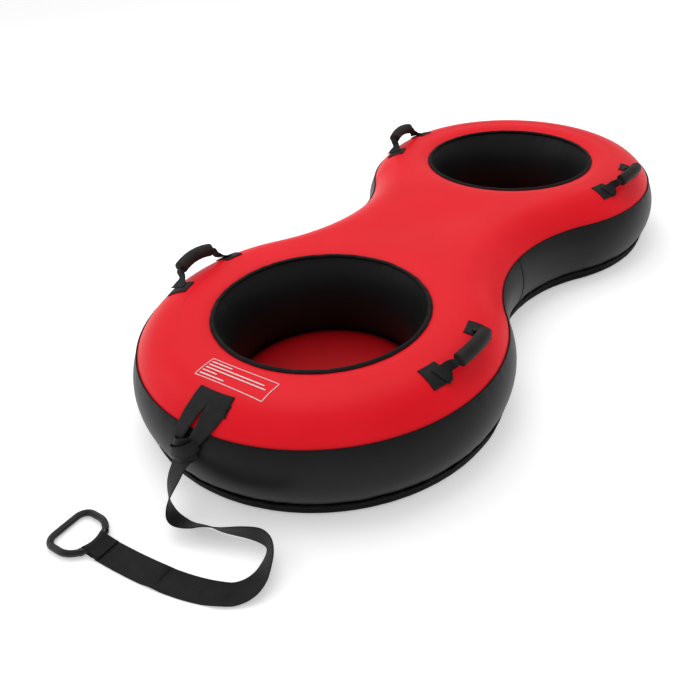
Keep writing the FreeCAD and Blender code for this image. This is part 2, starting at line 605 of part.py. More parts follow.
# ---------------------------------------------------------------- tow strap and D handle
def rounded_route(route):
    """The route's stations once each turn is an arc between its two runs, and the radii."""
    points = [Vector(*spot) for spot, outboard in route]
    boards = [Vector(*outboard) for spot, outboard in route]
    stations = [(points[0], boards[0])]
    radii = []
    for i, (before, here, after) in enumerate(zip(points, points[1:], points[2:]), 1):
        setback = 0.45 * min((here - before).Length, (after - here).Length)
        half_turn = (here - before).getAngle(after - here) / 2
        radii.append(setback / math.tan(half_turn))
        back = (before - here).normalize()
        onward = (after - here).normalize()
        rise = radii[-1] * (1 / math.cos(half_turn) - 1)
        stations += [(here + back * setback, boards[i - 1] + boards[i]),
                     (here + (back + onward).normalize() * rise, boards[i]),
                     (here + onward * setback, boards[i] + boards[i + 1])]
    stations.append((points[-1], boards[-1]))
    return stations, radii


def strap_solid(stations, lift=0.0):
    """Webbing of the strap's own size along these stations, raised by lift."""
    edge_pairs = []
    for i, (spot, outboard) in enumerate(stations):
        along = stations[min(i + 1, len(stations) - 1)][0] - stations[max(i - 1, 0)][0]
        along.normalize()
        across = (outboard - along * outboard.dot(along)).normalize() * (size("strap_width") / 2)
        spot = spot + Vector(0, 0, lift)
        edge_pairs.append((spot - across, spot + across))
    return webbing_solid(edge_pairs, size("strap_thickness"))


stations, radii = rounded_route(STRAP_ROUTE)
tow_strap = solid_feature("tow_strap", strap_solid(stations))
folded = [(Vector(*spot), Vector(*outboard)) for spot, outboard in STRAP_ROUTE[-FOLD_POINTS:]]
solid_feature("tow_strap_fold", strap_solid(folded, size("strap_thickness") + 0.1))

# The D handle lies with its grip on the ground and its bow held up by the loop round it.
RING_LENGTH = size("bow_radius") + size("bow_straight") + size("grip_corner")
tilt = math.atan((size("bow_height") - size("bar_radius") - 0.1) / RING_LENGTH)
bow_apex = Vector(size("ring_apex_x"), size("ring_y"), size("bow_height"))
level = Rotation(Vector(0, 1, 0), -tilt / DEGREE)
RING = Placement(bow_apex - level.multVec(Vector(size("bow_radius"), 0, 0)), level)


def ring_piece(kind, name, spot, turn, **sizes):
    """A primitive in the D handle's own plane, its bow's centre the origin, its bow at +X."""
    return primitive(kind, name, RING.multVec(Vector(*spot, 0)), RING.Rotation.multiply(turn), **sizes)


BAR = dict(Radius2=dim("bar_radius"))
ring = [ring_piece("Part::Torus", "ring_bow", (0, 0), Rotation(UPRIGHT, -90),
                   Radius1=dim("bow_radius"), Angle3=(180, None), **BAR)]
straight = size("bow_straight")
inset = size("bow_radius") - size("grip_corner")
for side, start in ((1, 90), (-1, 180)):
    ring.append(ring_piece("Part::Cylinder", f"ring_straight_{start}", (0, side * size("bow_radius")),
                           Rotation(Vector(0, 1, 0), -90), Radius=dim("bar_radius"),
                           Height=dim("bow_straight")))
    ring.append(ring_piece("Part::Torus", f"ring_corner_{start}", (-straight, side * inset),
                           Rotation(UPRIGHT, start), Radius1=dim("grip_corner"),
                           Angle3=(90, None), **BAR))
ring.append(ring_piece("Part::Cylinder", "ring_grip", (-straight - size("grip_corner"), -inset), ASTERN,
                       Radius=dim("bar_radius"), Height=(2 * inset, None)))
tow_handle = doc.addObject("Part::MultiFuse", "tow_handle")
tow_handle.Label = "tow_handle"
tow_handle.Shapes = ring
tow_handle.Refine = False

# The loop in the strap's end, round the bow, stitched down just short of the strap's fold.
half_angle = size("loop_half_angle")
loop_bore = ring_piece("Part::Torus", "loop_bore", (0, 0), Rotation(UPRIGHT, -90),
                       Radius1=dim("bow_radius"), Angle3=(180, None),
                       Radius2=dim("bar_radius", "running_gap"))
loop_wrap = ring_piece("Part::Torus", "loop_wrap", (0, 0), Rotation(UPRIGHT, -half_angle),
                       Radius1=dim("bow_radius"), Angle3=(2 * half_angle, None),
                       Radius2=dim("bar_radius", "running_gap", "strap_thickness"))
tail_spot = Vector(size("ring_apex_x"), size("ring_y") - size("strap_width") / 2, 0.5)
loop_tail = primitive("Part::Box", "loop_tail", tail_spot, Length=dim("loop_tail_length"),
                      Width=dim("strap_width"), Height=dim("strap_thickness", "strap_thickness"))
boolean("Part::Cut", "handle_loop", boolean("Part::Fuse", "loop_blank", loop_wrap, loop_tail), loop_bore)

# ---------------------------------------------------------------- check and write
NODES = [
    "top_panel", "front_side_panel", "rear_side_panel", "bottom_panel", "base_hem", "top_seam_cord",
    "front_well_wall", "rear_well_wall", "front_seat_floor", "rear_seat_floor",
    "front_rim_binding", "rear_rim_binding", "bladder", "valve_base", "valve_diaphragm",
    "valve_cap", "zip_tape", "zip_chain", "zip_slider", "zip_pull", "tow_patch",
    "tow_loop_port_leg", "tow_loop_starboard_leg", "tow_strap_hitch", "tow_strap",
    "tow_strap_fold", "handle_loop", "tow_handle",
]
NODES += [f"{name}_handle_{piece}" for name in HANDLES
          for piece in ("first_tab", "second_tab", "strap", "grip")]
doc.recompute()
for item in doc.Objects:
    if "Invalid" in item.State or "Error" in item.State:
        raise RuntimeError(f"{item.Label} failed: {item.State}")
os.makedirs("parts", exist_ok=True)
whole = FreeCAD.BoundBox()
for name in NODES:
    shape = doc.getObjectsByLabel(name)[0].Shape
    if shape.isNull() or not shape.isValid() or not shape.Solids:
        raise RuntimeError(f"{name} has no valid solid")
    whole.add(shape.BoundBox)
    shape.exportStep(f"parts/{name}.step")
    print(f"{name:28} solids {len(shape.Solids)}  volume {shape.Volume:12.0f}  low {shape.BoundBox.ZMin:7.2f}")
length = sum((b[0] - a[0]).Length for a, b in zip(stations, stations[1:]))
section = size("strap_width") * size("strap_thickness")
print(f"strap length {length:.1f}, section times length {section * length:.0f}, "
      f"volume {tow_strap.Shape.Volume:.0f}")
print("strap radii", [round(radius) for radius in radii])
print("whole", whole)
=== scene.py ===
"""The looks of a two-rider towable tube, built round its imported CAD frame, in metres.

The sections follow the tube as it is put together: the bladder and its valve, the cover
from the base up, the zip, the handles, then the tow point, the strap and the D handle.
+Z is up and the towing end is at -Y.
"""
import json
from math import asin, atan, atan2, copysign, cos, degrees, exp, hypot, pi, radians, sin, sqrt
import bmesh
import bpy
from mathutils import Matrix, Vector, geometry, noise

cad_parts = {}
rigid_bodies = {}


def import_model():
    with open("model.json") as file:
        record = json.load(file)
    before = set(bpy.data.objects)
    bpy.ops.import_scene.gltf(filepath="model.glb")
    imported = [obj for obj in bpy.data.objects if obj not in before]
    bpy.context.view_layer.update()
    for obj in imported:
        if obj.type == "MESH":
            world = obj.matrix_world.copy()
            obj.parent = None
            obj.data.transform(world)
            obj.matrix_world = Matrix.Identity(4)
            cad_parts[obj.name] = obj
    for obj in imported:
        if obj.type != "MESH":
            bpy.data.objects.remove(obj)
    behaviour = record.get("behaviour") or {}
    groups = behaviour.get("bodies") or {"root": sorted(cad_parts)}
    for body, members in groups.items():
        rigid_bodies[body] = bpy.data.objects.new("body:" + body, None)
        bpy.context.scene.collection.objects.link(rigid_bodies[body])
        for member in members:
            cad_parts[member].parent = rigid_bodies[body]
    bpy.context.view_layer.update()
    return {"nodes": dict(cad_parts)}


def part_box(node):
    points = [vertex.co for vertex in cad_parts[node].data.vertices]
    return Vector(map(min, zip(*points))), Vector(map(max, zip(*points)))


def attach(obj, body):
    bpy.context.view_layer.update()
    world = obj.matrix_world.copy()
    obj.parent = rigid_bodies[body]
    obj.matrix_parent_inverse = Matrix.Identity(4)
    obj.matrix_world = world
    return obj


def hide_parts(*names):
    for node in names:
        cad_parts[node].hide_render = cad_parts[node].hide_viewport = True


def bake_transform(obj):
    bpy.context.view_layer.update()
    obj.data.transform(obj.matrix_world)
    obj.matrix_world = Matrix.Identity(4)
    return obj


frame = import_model()
scene_objects = bpy.context.scene.collection.objects

# ------------------------------------------------------------------ air bladder
# A welded bladder of calendered vinyl film, a figure of eight with a hole for each rider.
# It fills the cover, so its outline is the cover's own, a few millimetres further in.
floor_low, floor_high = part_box("front_seat_floor")
WELL_Y = -(floor_low.y + floor_high.y) / 2
OUTER_R = round(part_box("front_side_panel")[1].x, 3)
TOP_Z = round(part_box("top_panel")[1].z, 3)
SEAM_Z = round(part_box("top_panel")[0].z, 3)
HEM_Z = round(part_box("base_hem")[1].z, 3)
FILLET_R = 0.394
WAIST_BASE = OUTER_R + FILLET_R     # from a waist bend's axis to the middle of a well
WAIST_X = sqrt(WAIST_BASE**2 - WELL_Y**2)
TANGENT = atan2(WELL_Y, WAIST_X)
RIM_R, RIM_Z, LIP_R, LIP_ARC = 0.225, TOP_Z - 0.011, 0.270, 0.0975
CROWN_R, SHOULDER_ARC = 0.292, 0.1054
SEAM_R, HEM_R, BASE_R, SIDE_ARC = 0.384, 0.386, 0.372, 0.121
FOOT_R, FOOT_Z, WELL_ARC = 0.213, 0.008, 0.191
WELLS = {"front": -WELL_Y, "rear": WELL_Y}
DISH = 0.009        # how far the crown sags between the two wells
STEP = 0.009        # spacing of the mesh round the tube


def walk_round():
    """Stations round the figure of eight: an axis, a direction, and how radii run along it."""
    bends = [((0, -WELL_Y), pi - TANGENT, 2 * pi + TANGENT, 0.0, 1.0),
             ((WAIST_X, 0), pi + TANGENT, pi - TANGENT, WAIST_BASE, -1.0),
             ((0, WELL_Y), -TANGENT, pi + TANGENT, 0.0, 1.0),
             ((-WAIST_X, 0), TANGENT, -TANGENT, WAIST_BASE, -1.0)]
    found = []
    for axis, start, end, base, sign in bends:
        count = round(abs(end - start) * 0.4 / STEP)
        for i in range(count):
            angle = start + (end - start) * i / count
            found.append((axis, (cos(angle), sin(angle)), base, sign))
    return found


STATIONS = walk_round()


def place(station, radius):
    (x, y), (dx, dy), base, sign = station
    out = base + sign * radius
    return x + dx * out, y + dy * out


def arc_between(start, end, radius, side, count):
    """Points along an arc in the (radius, height) plane; side is where its centre lies."""
    a, b = Vector(start), Vector(end)
    chord = b - a
    middle = (a + b) / 2 + Vector((-chord.y, chord.x)).normalized() * side * sqrt(
        radius**2 - chord.length_squared / 4)
    turn = 2 * asin(chord.length / 2 / radius) * side
    first = a - middle
    return [tuple(middle + Matrix.Rotation(turn * i / count, 2) @ first) for i in range(count + 1)]


def sag(x, y):
    """How much lower the crown is where it spans the middle, away from both wells."""
    near = min(hypot(x, y - WELL_Y), hypot(x, y + WELL_Y))
    edge = WAIST_BASE - hypot(WAIST_X - abs(x), y)
    inward = max(0.0, min(1.0, (near - LIP_R) / (WELL_Y - LIP_R)))
    across = max(0.0, min(1.0, (CROWN_R - edge) / 0.146))
    return DISH * inward * inward * (3 - 2 * inward) * across * across * (3 - 2 * across)


def sweep_round(mesh, profile, ripple=None, stations=STATIONS):
    """Skin a (radius, height) profile round the tube. ripple moves a point by its station."""
    grid = []
    for i, station in enumerate(stations):
        row = []
        for k, (radius, height) in enumerate(profile):
            if ripple:
                radius, height = ripple(i / len(stations), k, radius, height)
            row.append(mesh.verts.new((*place(station, radius), height)))
        grid.append(row)
    skin(mesh, grid)


def ring(mesh, centre_y, profile, count=240, ripple=None):
    """Turn a (radius, height) profile about a well's axis."""
    turns = [2 * pi * i / count for i in range(count)]
    sweep_round(mesh, profile, ripple,
                [((0, centre_y), (cos(turn), sin(turn)), 0.0, 1.0) for turn in turns])


def skin(mesh, grid, closed=True):
    """Faces between neighbouring rows of a grid of vertices."""
    for near, far in zip(grid, grid[1:] + grid[:1] if closed else grid[1:]):
        for k in range(len(near) - 1):
            mesh.faces.new((near[k], far[k], far[k + 1], near[k + 1]))


def fill_eight(mesh, radius, hole, height, spacing=0.012):
    """A fine sheet over the figure of eight inside a radius, less a round hole at each well."""
    edge = [Vector(place(station, radius)) for station in STATIONS]
    points = list(edge)
    links = [(i, (i + 1) % len(edge)) for i in range(len(edge))]
    for well in WELLS.values() if hole else ():
        first = len(points)
        turns = [a * pi / 120 for a in range(240)]
        points += [Vector((hole * cos(turn), well + hole * sin(turn))) for turn in turns]
        links += [(first + i, first + (i + 1) % 240) for i in range(240)]
    reach = WELL_Y + radius
    for i in range(int(-reach / spacing), int(reach / spacing) + 1):
        for k in range(int(-radius / spacing), int(radius / spacing) + 1):
            x, y = (k + i % 2 / 2) * spacing, i * spacing * 0.866
            near = min(hypot(x, y - WELL_Y), hypot(x, y + WELL_Y))
            out = WAIST_BASE - hypot(WAIST_X - abs(x), y)
            inside = near < radius or abs(y) < WELL_Y and out < radius and abs(x) < WAIST_X
            bend = near if abs(y) > WELL_Y or near < out else out
            clear = bend < radius - spacing / 2 and (not hole or near > hole + spacing / 2)
            if inside and clear:
                points.append(Vector((x, y)))
    flat, _, faces, *_ = geometry.delaunay_2d_cdt(points, links, [], 1, 1e-6)
    verts = [mesh.verts.new((p.x, p.y, height(p.x, p.y))) for p in flat]
    for face in faces:
        x, y = sum((flat[i] for i in face), Vector((0, 0))) / 3
        if not hole or min(hypot(x, y - w) for w in WELLS.values()) > hole:
            mesh.faces.new([verts[i] for i in face])


def piece_from(name, mesh, material, body="root", replaces=(), blend=None):
    """Finish a mesh as a piece on a body, fixed in place if blend is given, standing for its CAD nodes."""
    bmesh.ops.remove_doubles(mesh, verts=mesh.verts, dist=2e-6)
    bmesh.ops.dissolve_degenerate(mesh, edges=mesh.edges, dist=1e-7)
    bmesh.ops.recalc_face_normals(mesh, faces=mesh.faces)
    data = bpy.data.meshes.new(name)
    mesh.to_mesh(data)
    mesh.free()
    data.polygons.foreach_set("use_smooth", [True] * len(data.polygons))
    data.materials.append(material)
    piece = bpy.data.objects.new(name, data)
    scene_objects.link(piece)
    if blend:
        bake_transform(piece)
    else:
        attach(piece, body)
    if replaces:
        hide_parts(*replaces)
    return piece


def add_node(tree, kind, inputs=(), **settings):
    """A node with its settings, and its inputs as values or as links from other sockets."""
    made = tree.nodes.new(kind)
    for name, value in settings.items():
        setattr(made, name, value)
    for name, value in dict(inputs).items():
        if isinstance(value, bpy.types.NodeSocket):
            tree.links.new(value, made.inputs[name])
        else:
            made.inputs[name].default_value = value
    return made


def from_hex(code):
    """An sRGB hex colour as linear RGBA."""
    parts = [int(code[i:i + 2], 16) / 255 for i in (0, 2, 4)]
    return tuple(c / 12.92 if c < 0.04045 else ((c + 0.055) / 1.055)**2.4 for c in parts) + (1.0,)


def finish(name, dark, light, roughness, mottle=9.0, grain=900.0, relief=0.25, spread=0.06, shine=0.22):
    """A colour that drifts between two shades, over a grain that breaks up the shine.

    Both patterns are per metre. A grain of 900 is 1.1 mm across, coarser than real so it shows.
    """
    material = bpy.data.materials.new(name)
    material.use_nodes = True
    tree = material.node_tree
    shader = tree.nodes["Principled BSDF"]
    where = add_node(tree, "ShaderNodeTexCoord").outputs["Object"]
    drift = add_node(tree, "ShaderNodeTexNoise", {"Vector": where, "Scale": mottle, "Detail": 3.0})
    tint = add_node(tree, "ShaderNodeValToRGB", {"Fac": drift.outputs["Fac"]})
    for stop, code, at in zip(tint.color_ramp.elements, (dark, light), (0.3, 0.7)):
        stop.color, stop.position = from_hex(code), at
    fine = add_node(tree, "ShaderNodeTexNoise", {"Vector": where, "Scale": grain, "Detail": 2.0})
    rough = add_node(tree, "ShaderNodeMapRange", {
        "Value": fine.outputs["Fac"], "To Min": roughness - spread, "To Max": roughness + spread})
    bump = add_node(tree, "ShaderNodeBump", {
        "Height": fine.outputs["Fac"], "Strength": relief, "Distance": 0.0004})
    tree.links.new(tint.outputs["Color"], shader.inputs["Base Color"])
    tree.links.new(rough.outputs["Result"], shader.inputs["Roughness"])
    tree.links.new(bump.outputs["Normal"], shader.inputs["Normal"])
    shader.inputs["Specular IOR Level"].default_value = shine
    return material


SHOULDER = arc_between((CROWN_R, TOP_Z), (SEAM_R, SEAM_Z), SHOULDER_ARC, -1, 16)
LIP = arc_between((RIM_R, RIM_Z), (LIP_R, TOP_Z), LIP_ARC, -1, 8)
SIDE = arc_between((SEAM_R, SEAM_Z), (HEM_R, HEM_Z), SIDE_ARC, -1, 18)
WELL_WALL = arc_between((FOOT_R, FOOT_Z), (RIM_R, RIM_Z), WELL_ARC, -1, 24)


def cover_top(mesh, inset):
    """The crown, shoulders and lips of the tube, this far inside the cover's face."""
    fill_eight(mesh, CROWN_R, LIP_R, lambda x, y: TOP_Z - inset - sag(x, y))
    sweep_round(mesh, [(r - inset * (r - CROWN_R) / SHOULDER_ARC, z - inset) for r, z in SHOULDER])
    for well in WELLS.values():
        ring(mesh, well, [(r + inset * (LIP_R - r) / (LIP_R - RIM_R), z - inset) for r, z in LIP])


# Calendered vinyl film: soft, slightly mottled, with a low plastic shine.
film = finish("vinyl_film", "26272B", "303136", 0.42, mottle=14, grain=300, relief=0.1)
INSET, UNDER_Z = 0.0035, 0.0040     # the film, inside the cover's face and above the ground
bladder = bmesh.new()
cover_top(bladder, INSET)
shoulder_foot = SEAM_R - INSET * (SEAM_R - CROWN_R) / SHOULDER_ARC
sweep_round(bladder, [(shoulder_foot, SEAM_Z - INSET)] + [(r - INSET, z) for r, z in SIDE[2:]]
            + [(BASE_R - INSET, UNDER_Z)])
fill_eight(bladder, BASE_R - INSET, FOOT_R + INSET, lambda x, y: UNDER_Z, 0.03)
for well in WELLS.values():
    ring(bladder, well, [(FOOT_R + INSET, UNDER_Z)] + [(r + INSET, z) for r, z in WELL_WALL[1:-2]]
         + [(RIM_R + INSET, RIM_Z - INSET)])
piece_from("air_bladder", bladder, film, replaces=["bladder"])

# ------------------------------------------------------------------ air valve
# A moulded vinyl valve welded to the bladder: a flange and barrel, a soft rubber diaphragm at
# its inner end, and a cap whose knurled rim and finger bar turn in the flange.
VALVE_Z = 0.094
FLANGE_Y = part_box("valve_base")[1].y
CAP_LOW, CAP_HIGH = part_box("valve_cap")
KNURL_R = 0.0140        # the cap's rim is fluted outside this radius


def turned(mesh, profile, count=64, knurl=0.0):
    """Turn a (radius, y) profile about the valve's axis, with flutes where it is knurled."""
    rows = []
    for i in range(count):
        angle = 2 * pi * i / count
        flute = knurl if i % 4 < 2 else 0
        fluted = [(r - flute if r > KNURL_R else r, y) for r, y in profile]
        rows.append([mesh.verts.new((r * cos(angle), y, VALVE_Z + r * sin(angle)))
                     for r, y in fluted])
    skin(mesh, rows)


# Moulded vinyl has a hard, even half shine. Silicone rubber beside it is paler and duller.
hard_vinyl = finish("moulded_vinyl", "26272A", "303236", 0.34, mottle=60, grain=500, relief=0.15)
soft_rubber = finish("silicone_rubber", "36383C", "404248", 0.5, mottle=90, grain=400, relief=0.2)
base = bmesh.new()
turned(base, [(0.0112, FLANGE_Y - 0.0220), (0.0157, FLANGE_Y - 0.0220), (0.0158, FLANGE_Y - 0.0028),
              (0.0212, FLANGE_Y - 0.0021), (0.0219, FLANGE_Y - 0.0014), (0.0219, FLANGE_Y - 0.0009),
              (0.0213, FLANGE_Y - 0.0003), (0.0203, FLANGE_Y), (0.0192, FLANGE_Y - 0.0001),
              (0.0187, FLANGE_Y - 0.0006), (0.0178, FLANGE_Y - 0.0006), (0.0173, FLANGE_Y - 0.0001),
              (0.0160, FLANGE_Y), (0.0118, FLANGE_Y), (0.0111, FLANGE_Y - 0.0006),
              (0.0112, FLANGE_Y - 0.0220)], 96)
piece_from("valve_body", base, hard_vinyl, replaces=["valve_base"])
flap = bmesh.new()
flap_low, flap_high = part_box("valve_diaphragm")
turned(flap, [(0.0, flap_low.y), (0.0104, flap_low.y), (0.0106, flap_low.y + 0.0004), (0.0104, flap_high.y),
              (0.0080, flap_high.y - 0.0001), (0.0074, flap_high.y - 0.0005),
              (0.0, flap_high.y - 0.0002)], 48)
piece_from("valve_flap", flap, soft_rubber, replaces=["valve_diaphragm"])
cap = bmesh.new()
LID = CAP_HIGH.y
turned(cap, [(0.0, CAP_LOW.y), (0.0098, CAP_LOW.y), (0.0105, CAP_LOW.y + 0.0008), (0.0105, LID - 0.0049),
             (0.0142, LID - 0.0049), (0.0149, LID - 0.0042), (0.0149, LID - 0.0012), (0.0141, LID - 0.0002),
             (0.0133, LID), (0.0118, LID - 0.0002), (0.0112, LID - 0.0011), (0.0, LID - 0.0016)], 96, 0.0005)
bar = [(0.0105 * sx * (1 - 0.12 * t), LID - 0.0020 + 0.0020 * t, VALVE_Z + sz * (0.0024 - 0.0007 * t))
       for t in (0, 0.8, 1) for sx, sz in ((-1, -1), (1, -1), (1, 1), (-1, 1))]
bar_verts = [cap.verts.new(p) for p in bar]
for layer in (0, 4):
    for k in range(4):
        m = (k + 1) % 4
        cap.faces.new([bar_verts[layer + at] for at in (k, m, 4 + m, 4 + k)])
cap.faces.new(bar_verts[8:])
cap.faces.new(bar_verts[3::-1])
piece_from("valve_cap_moulding", cap, hard_vinyl, body="valve_cap",
           replaces=["valve_cap"])

# ------------------------------------------------------------------ bottom panel and seat floors
# Black tarpaulin, cut as a figure of eight and laid flat: its CAD node only gets its cloth.
# At the bottom of each well a red cloth floor lies over foam, a little lower at its edge.
# Tarpaulin is nearly black and dull. The floor's red is deeper than the top's, and matt.
tarpaulin = finish("pvc_tarpaulin", "050505", "090909", 0.60, mottle=20, relief=0.5, shine=0.05)
frame["nodes"]["bottom_panel"].data.materials.clear()
frame["nodes"]["bottom_panel"].data.materials.append(tarpaulin)
floor_cloth = finish("oxford_cloth_red_floor", "B4000C", "C0000F", 0.6, mottle=12, relief=0.4)
for end, well in WELLS.items():
    floor = bmesh.new()
    radius = FOOT_R - 0.0015
    pillow = [(0.0, FOOT_Z)] + [(radius * k / 14, FOOT_Z - 0.0012 * (k / 14)**4) for k in range(1, 14)]
    pillow += [(radius, FOOT_Z - 0.002), (radius, 0.0026), (0.0, 0.0026)]
    ring(floor, well, pillow)
    piece_from(f"{end}_floor_pad", floor, floor_cloth,
                         replaces=[f"{end}_seat_floor"])

# ------------------------------------------------------------------ well walls
# Black coated oxford cloth, joined into a ring and pulled into the well by the bladder's air.
# The seams at its foot and rim gather it a little, so fine puckers run in from both edges.
# Its coating gives a soft grey shine on black, broken by the cloth's grain.
black_cloth = finish("oxford_cloth_black", "161616", "1C1C1C", 0.40, mottle=7, relief=0.2, shine=0.13)


def round_spot(turn, size, seed):
    """Where to read the noise at this share of a turn, so that it meets itself again."""
    return cos(2 * pi * turn) * size, sin(2 * pi * turn) * size, seed


def puckers(seed, amount, reach_in, count, size):
    """A ripple that is strongest at the profile's ends and dies away over a few points."""
    def ripple(turn, k, radius, height):
        edge = max(0.0, 1 - min(k, count - k) / reach_in)
        return radius + amount * edge * edge * noise.noise(round_spot(turn, size, seed)), height
    return ripple


for end, well in WELLS.items():
    wall = bmesh.new()
    ring(wall, well, WELL_WALL, 360, puckers(3.0 + well, 0.0022, 7, len(WELL_WALL) - 1, 22))
    piece_from(f"{end}_well_cloth", wall, black_cloth, replaces=[f"{end}_well_wall"])

# ------------------------------------------------------------------ side panels
# Two strips of black coated oxford cloth, sewn end to end at the waist and bulged by the air.
# The stern strip has the valve's port cut in it, behind which the valve's flange sits.
side = bmesh.new()
sweep_round(side, SIDE, puckers(8.0, 0.0016, 5, len(SIDE) - 1, 40))
port = Vector((0.0, 0.0, VALVE_Z))
PORT_R = 0.025


def from_port(vert):
    """How far off the port's axis a point is, or far away if it is on the other tube end."""
    return Vector((vert.co.x, 0.0, vert.co.z)) - port if vert.co.y > WELL_Y else Vector((9.0, 0.0, 0.0))


near = [e for e in side.edges if all(from_port(v).length < 0.05 for v in e.verts)]
bmesh.ops.subdivide_edges(side, edges=near, cuts=3, use_grid_fill=True)
bmesh.ops.delete(side, geom=[f for f in side.faces if any(from_port(v).length < PORT_R for v in f.verts)],
                 context="FACES")
brink = [e for e in side.edges if e.is_boundary and all(from_port(v).length < 0.04 for v in e.verts)]
for vert in {v for e in brink for v in e.verts}:
    ray = from_port(vert).normalized() * PORT_R
    vert.co.x, vert.co.z = ray.x, VALVE_Z + ray.z
turned_in = bmesh.ops.extrude_edge_only(side, edges=brink)["geom"]
for vert in (g for g in turned_in if isinstance(g, bmesh.types.BMVert)):
    ray = from_port(vert) * 0.98
    vert.co = Vector((ray.x, vert.co.y - 0.004, VALVE_Z + ray.z))
piece_from("side_cloth", side, black_cloth,
           replaces=["front_side_panel", "rear_side_panel"])

# ------------------------------------------------------------------ base hem
# A strip of the base's tarpaulin turned up over the side panel's foot and stitched there.
# Its top edge stands a little proud and waves where the thread draws it in.
def hem_ripple(turn, k, radius, height):
    spot = round_spot(turn, 30, 5.0)
    share = height / HEM_Z
    return (radius + share * 0.0024 * (0.6 + noise.noise(spot)),
            height + share * share * 0.003 * noise.noise(Vector(spot) * 0.6))


hem = bmesh.new()
HEM = [(BASE_R, 0.0)] + arc_between((BASE_R, 0.0), (HEM_R, 0.014), 0.014, 1, 5)[1:]
HEM += [(HEM_R + 0.0006 * k, 0.014 + 0.004 * k) for k in range(1, 5)]
HEM += [(HEM_R + 0.0010, HEM_Z + 0.0008), (HEM_R - 0.0012, HEM_Z), (HEM_R - 0.0016, 0.020)]
sweep_round(hem, HEM, hem_ripple)
piece_from("hem_strip", hem, tarpaulin, replaces=["base_hem"])

# ------------------------------------------------------------------ top panel
# One piece of red coated oxford cloth, shaped over the crown: the air makes it a soft satin
# sheet. It drops to a seam all round and to a bound rim at each well.
# The red is even and strong, with a low satin shine that spreads over the crown.
red_cloth = finish("oxford_cloth_red", "E6101F", "EC1626", 0.42, mottle=5, relief=0.15, shine=0.12)
top = bmesh.new()
cover_top(top, 0.0)
piece_from("top_cloth", top, red_cloth, replaces=["top_panel"])

# ------------------------------------------------------------------ seam cord and rim bindings
# Black piping sewn into the top seam, and a folded woven tape that binds each well's rim.
# The tape is drawn tight by its stitches, so its width and height waver slightly.
# Woven tape has no coating, so it is rougher and duller than the panels.
tape_cloth = finish("woven_tape", "121212", "191918", 0.66, mottle=60, grain=1400, relief=0.6, shine=0.12)


def tube_profile(radius, height, thick, count=12):
    turns = [2 * pi * k / count for k in range(count + 1)]
    return [(radius + thick * cos(turn), height + thick * sin(turn)) for turn in turns]


piping = bmesh.new()
sweep_round(piping, tube_profile(SEAM_R + 0.0012, SEAM_Z + 0.0010, 0.0016, 8))
piece_from("seam_piping", piping, tape_cloth, replaces=["top_seam_cord"])
for end, well in WELLS.items():
    binding = bmesh.new()
    def waver(turn, k, radius, height):
        spot = round_spot(turn, 9, well)
        return radius + 0.0012 * noise.noise(spot), height + 0.0010 * noise.noise(Vector(spot) * 1.7)
    turns = [2 * pi * k / 14 for k in range(15)]
    oval = [(RIM_R - 0.001 + 0.0052 * cos(turn) - 0.0012 * sin(turn),
             RIM_Z + 0.0022 + 0.0046 * sin(turn)) for turn in turns]
    ring(binding, well, oval, 360, waver)
    piece_from(f"{end}_rim_tape", binding, tape_cloth, replaces=[f"{end}_rim_binding"])

# ------------------------------------------------------------------ printed panel
# A plain block of white ink on the bow, an outline round five bars. It bends with the cover.
def on_cover(x, y, lift=0.0):
    """The spot this far above the cover, over a point in plan on one of the big bends."""
    out = Vector((x, y - copysign(WELL_Y, y), 0.0))
    over = max(0.0, out.length - CROWN_R) + min(0.0, out.length - LIP_R)
    arc = SHOULDER_ARC if over > 0 else LIP_ARC
    up = sqrt(1 - (over / arc)**2)
    normal = out.normalized() * over / arc + Vector((0, 0, up))
    return Vector((x, y, TOP_Z - arc * (1 - up))) + normal * lift


# Screen-print ink is a thin opaque white that lies on the cloth, with no shine of its own.
ink = finish("screen_print_ink", "E6E2E2", "F4F2F2", 0.5, mottle=120, relief=0.3)
panel = bmesh.new()
PANEL_X, PANEL_Y, PANEL_W, PANEL_H, LINE = -0.0635, -0.768, 0.159, 0.052, 0.0014
bars = [(0, 0, PANEL_W, LINE), (0, PANEL_H - LINE, PANEL_W, LINE), (0, 0, LINE, PANEL_H),
        (PANEL_W - LINE, 0, LINE, PANEL_H)]
bars += [(0.006, 0.0065 + 0.0088 * k, length, 0.0026) for k, length in
         enumerate((0.058, 0.034, 0.141, 0.132, 0.049))]
for left, low, length, height in bars:
    wide, tall = max(1, round(length / 0.006)), max(1, round(height / 0.006))
    layers = [[[panel.verts.new(on_cover(PANEL_X + left + length * i / wide,
                                         PANEL_Y + low + height * k / tall, lift))
                for k in range(tall + 1)] for i in range(wide + 1)] for lift in (0.0006, 0.0001)]
    for layer in layers:
        skin(panel, layer, closed=False)
    brim = [[layer[i][0] for i in range(wide + 1)] + [layer[wide][k] for k in range(1, tall + 1)]
            + [layer[i][tall] for i in range(wide - 1, -1, -1)]
            + [layer[0][k] for k in range(tall - 1, 0, -1)]
            for layer in layers]
    for k, spot in enumerate(brim[0]):
        panel.faces.new((brim[0][k - 1], spot, brim[1][k], brim[1][k - 1]))
piece_from("printed_panel", panel, ink)

# ------------------------------------------------------------------ webbing
# Flat woven polyester, with ribs along it and finer weft across. Its UVs are metres across
# and metres along, so the weave keeps its scale on every band.
ACROSS = (-1, -0.94, -0.6, -0.2, 0.2, 0.6, 0.94, 1)


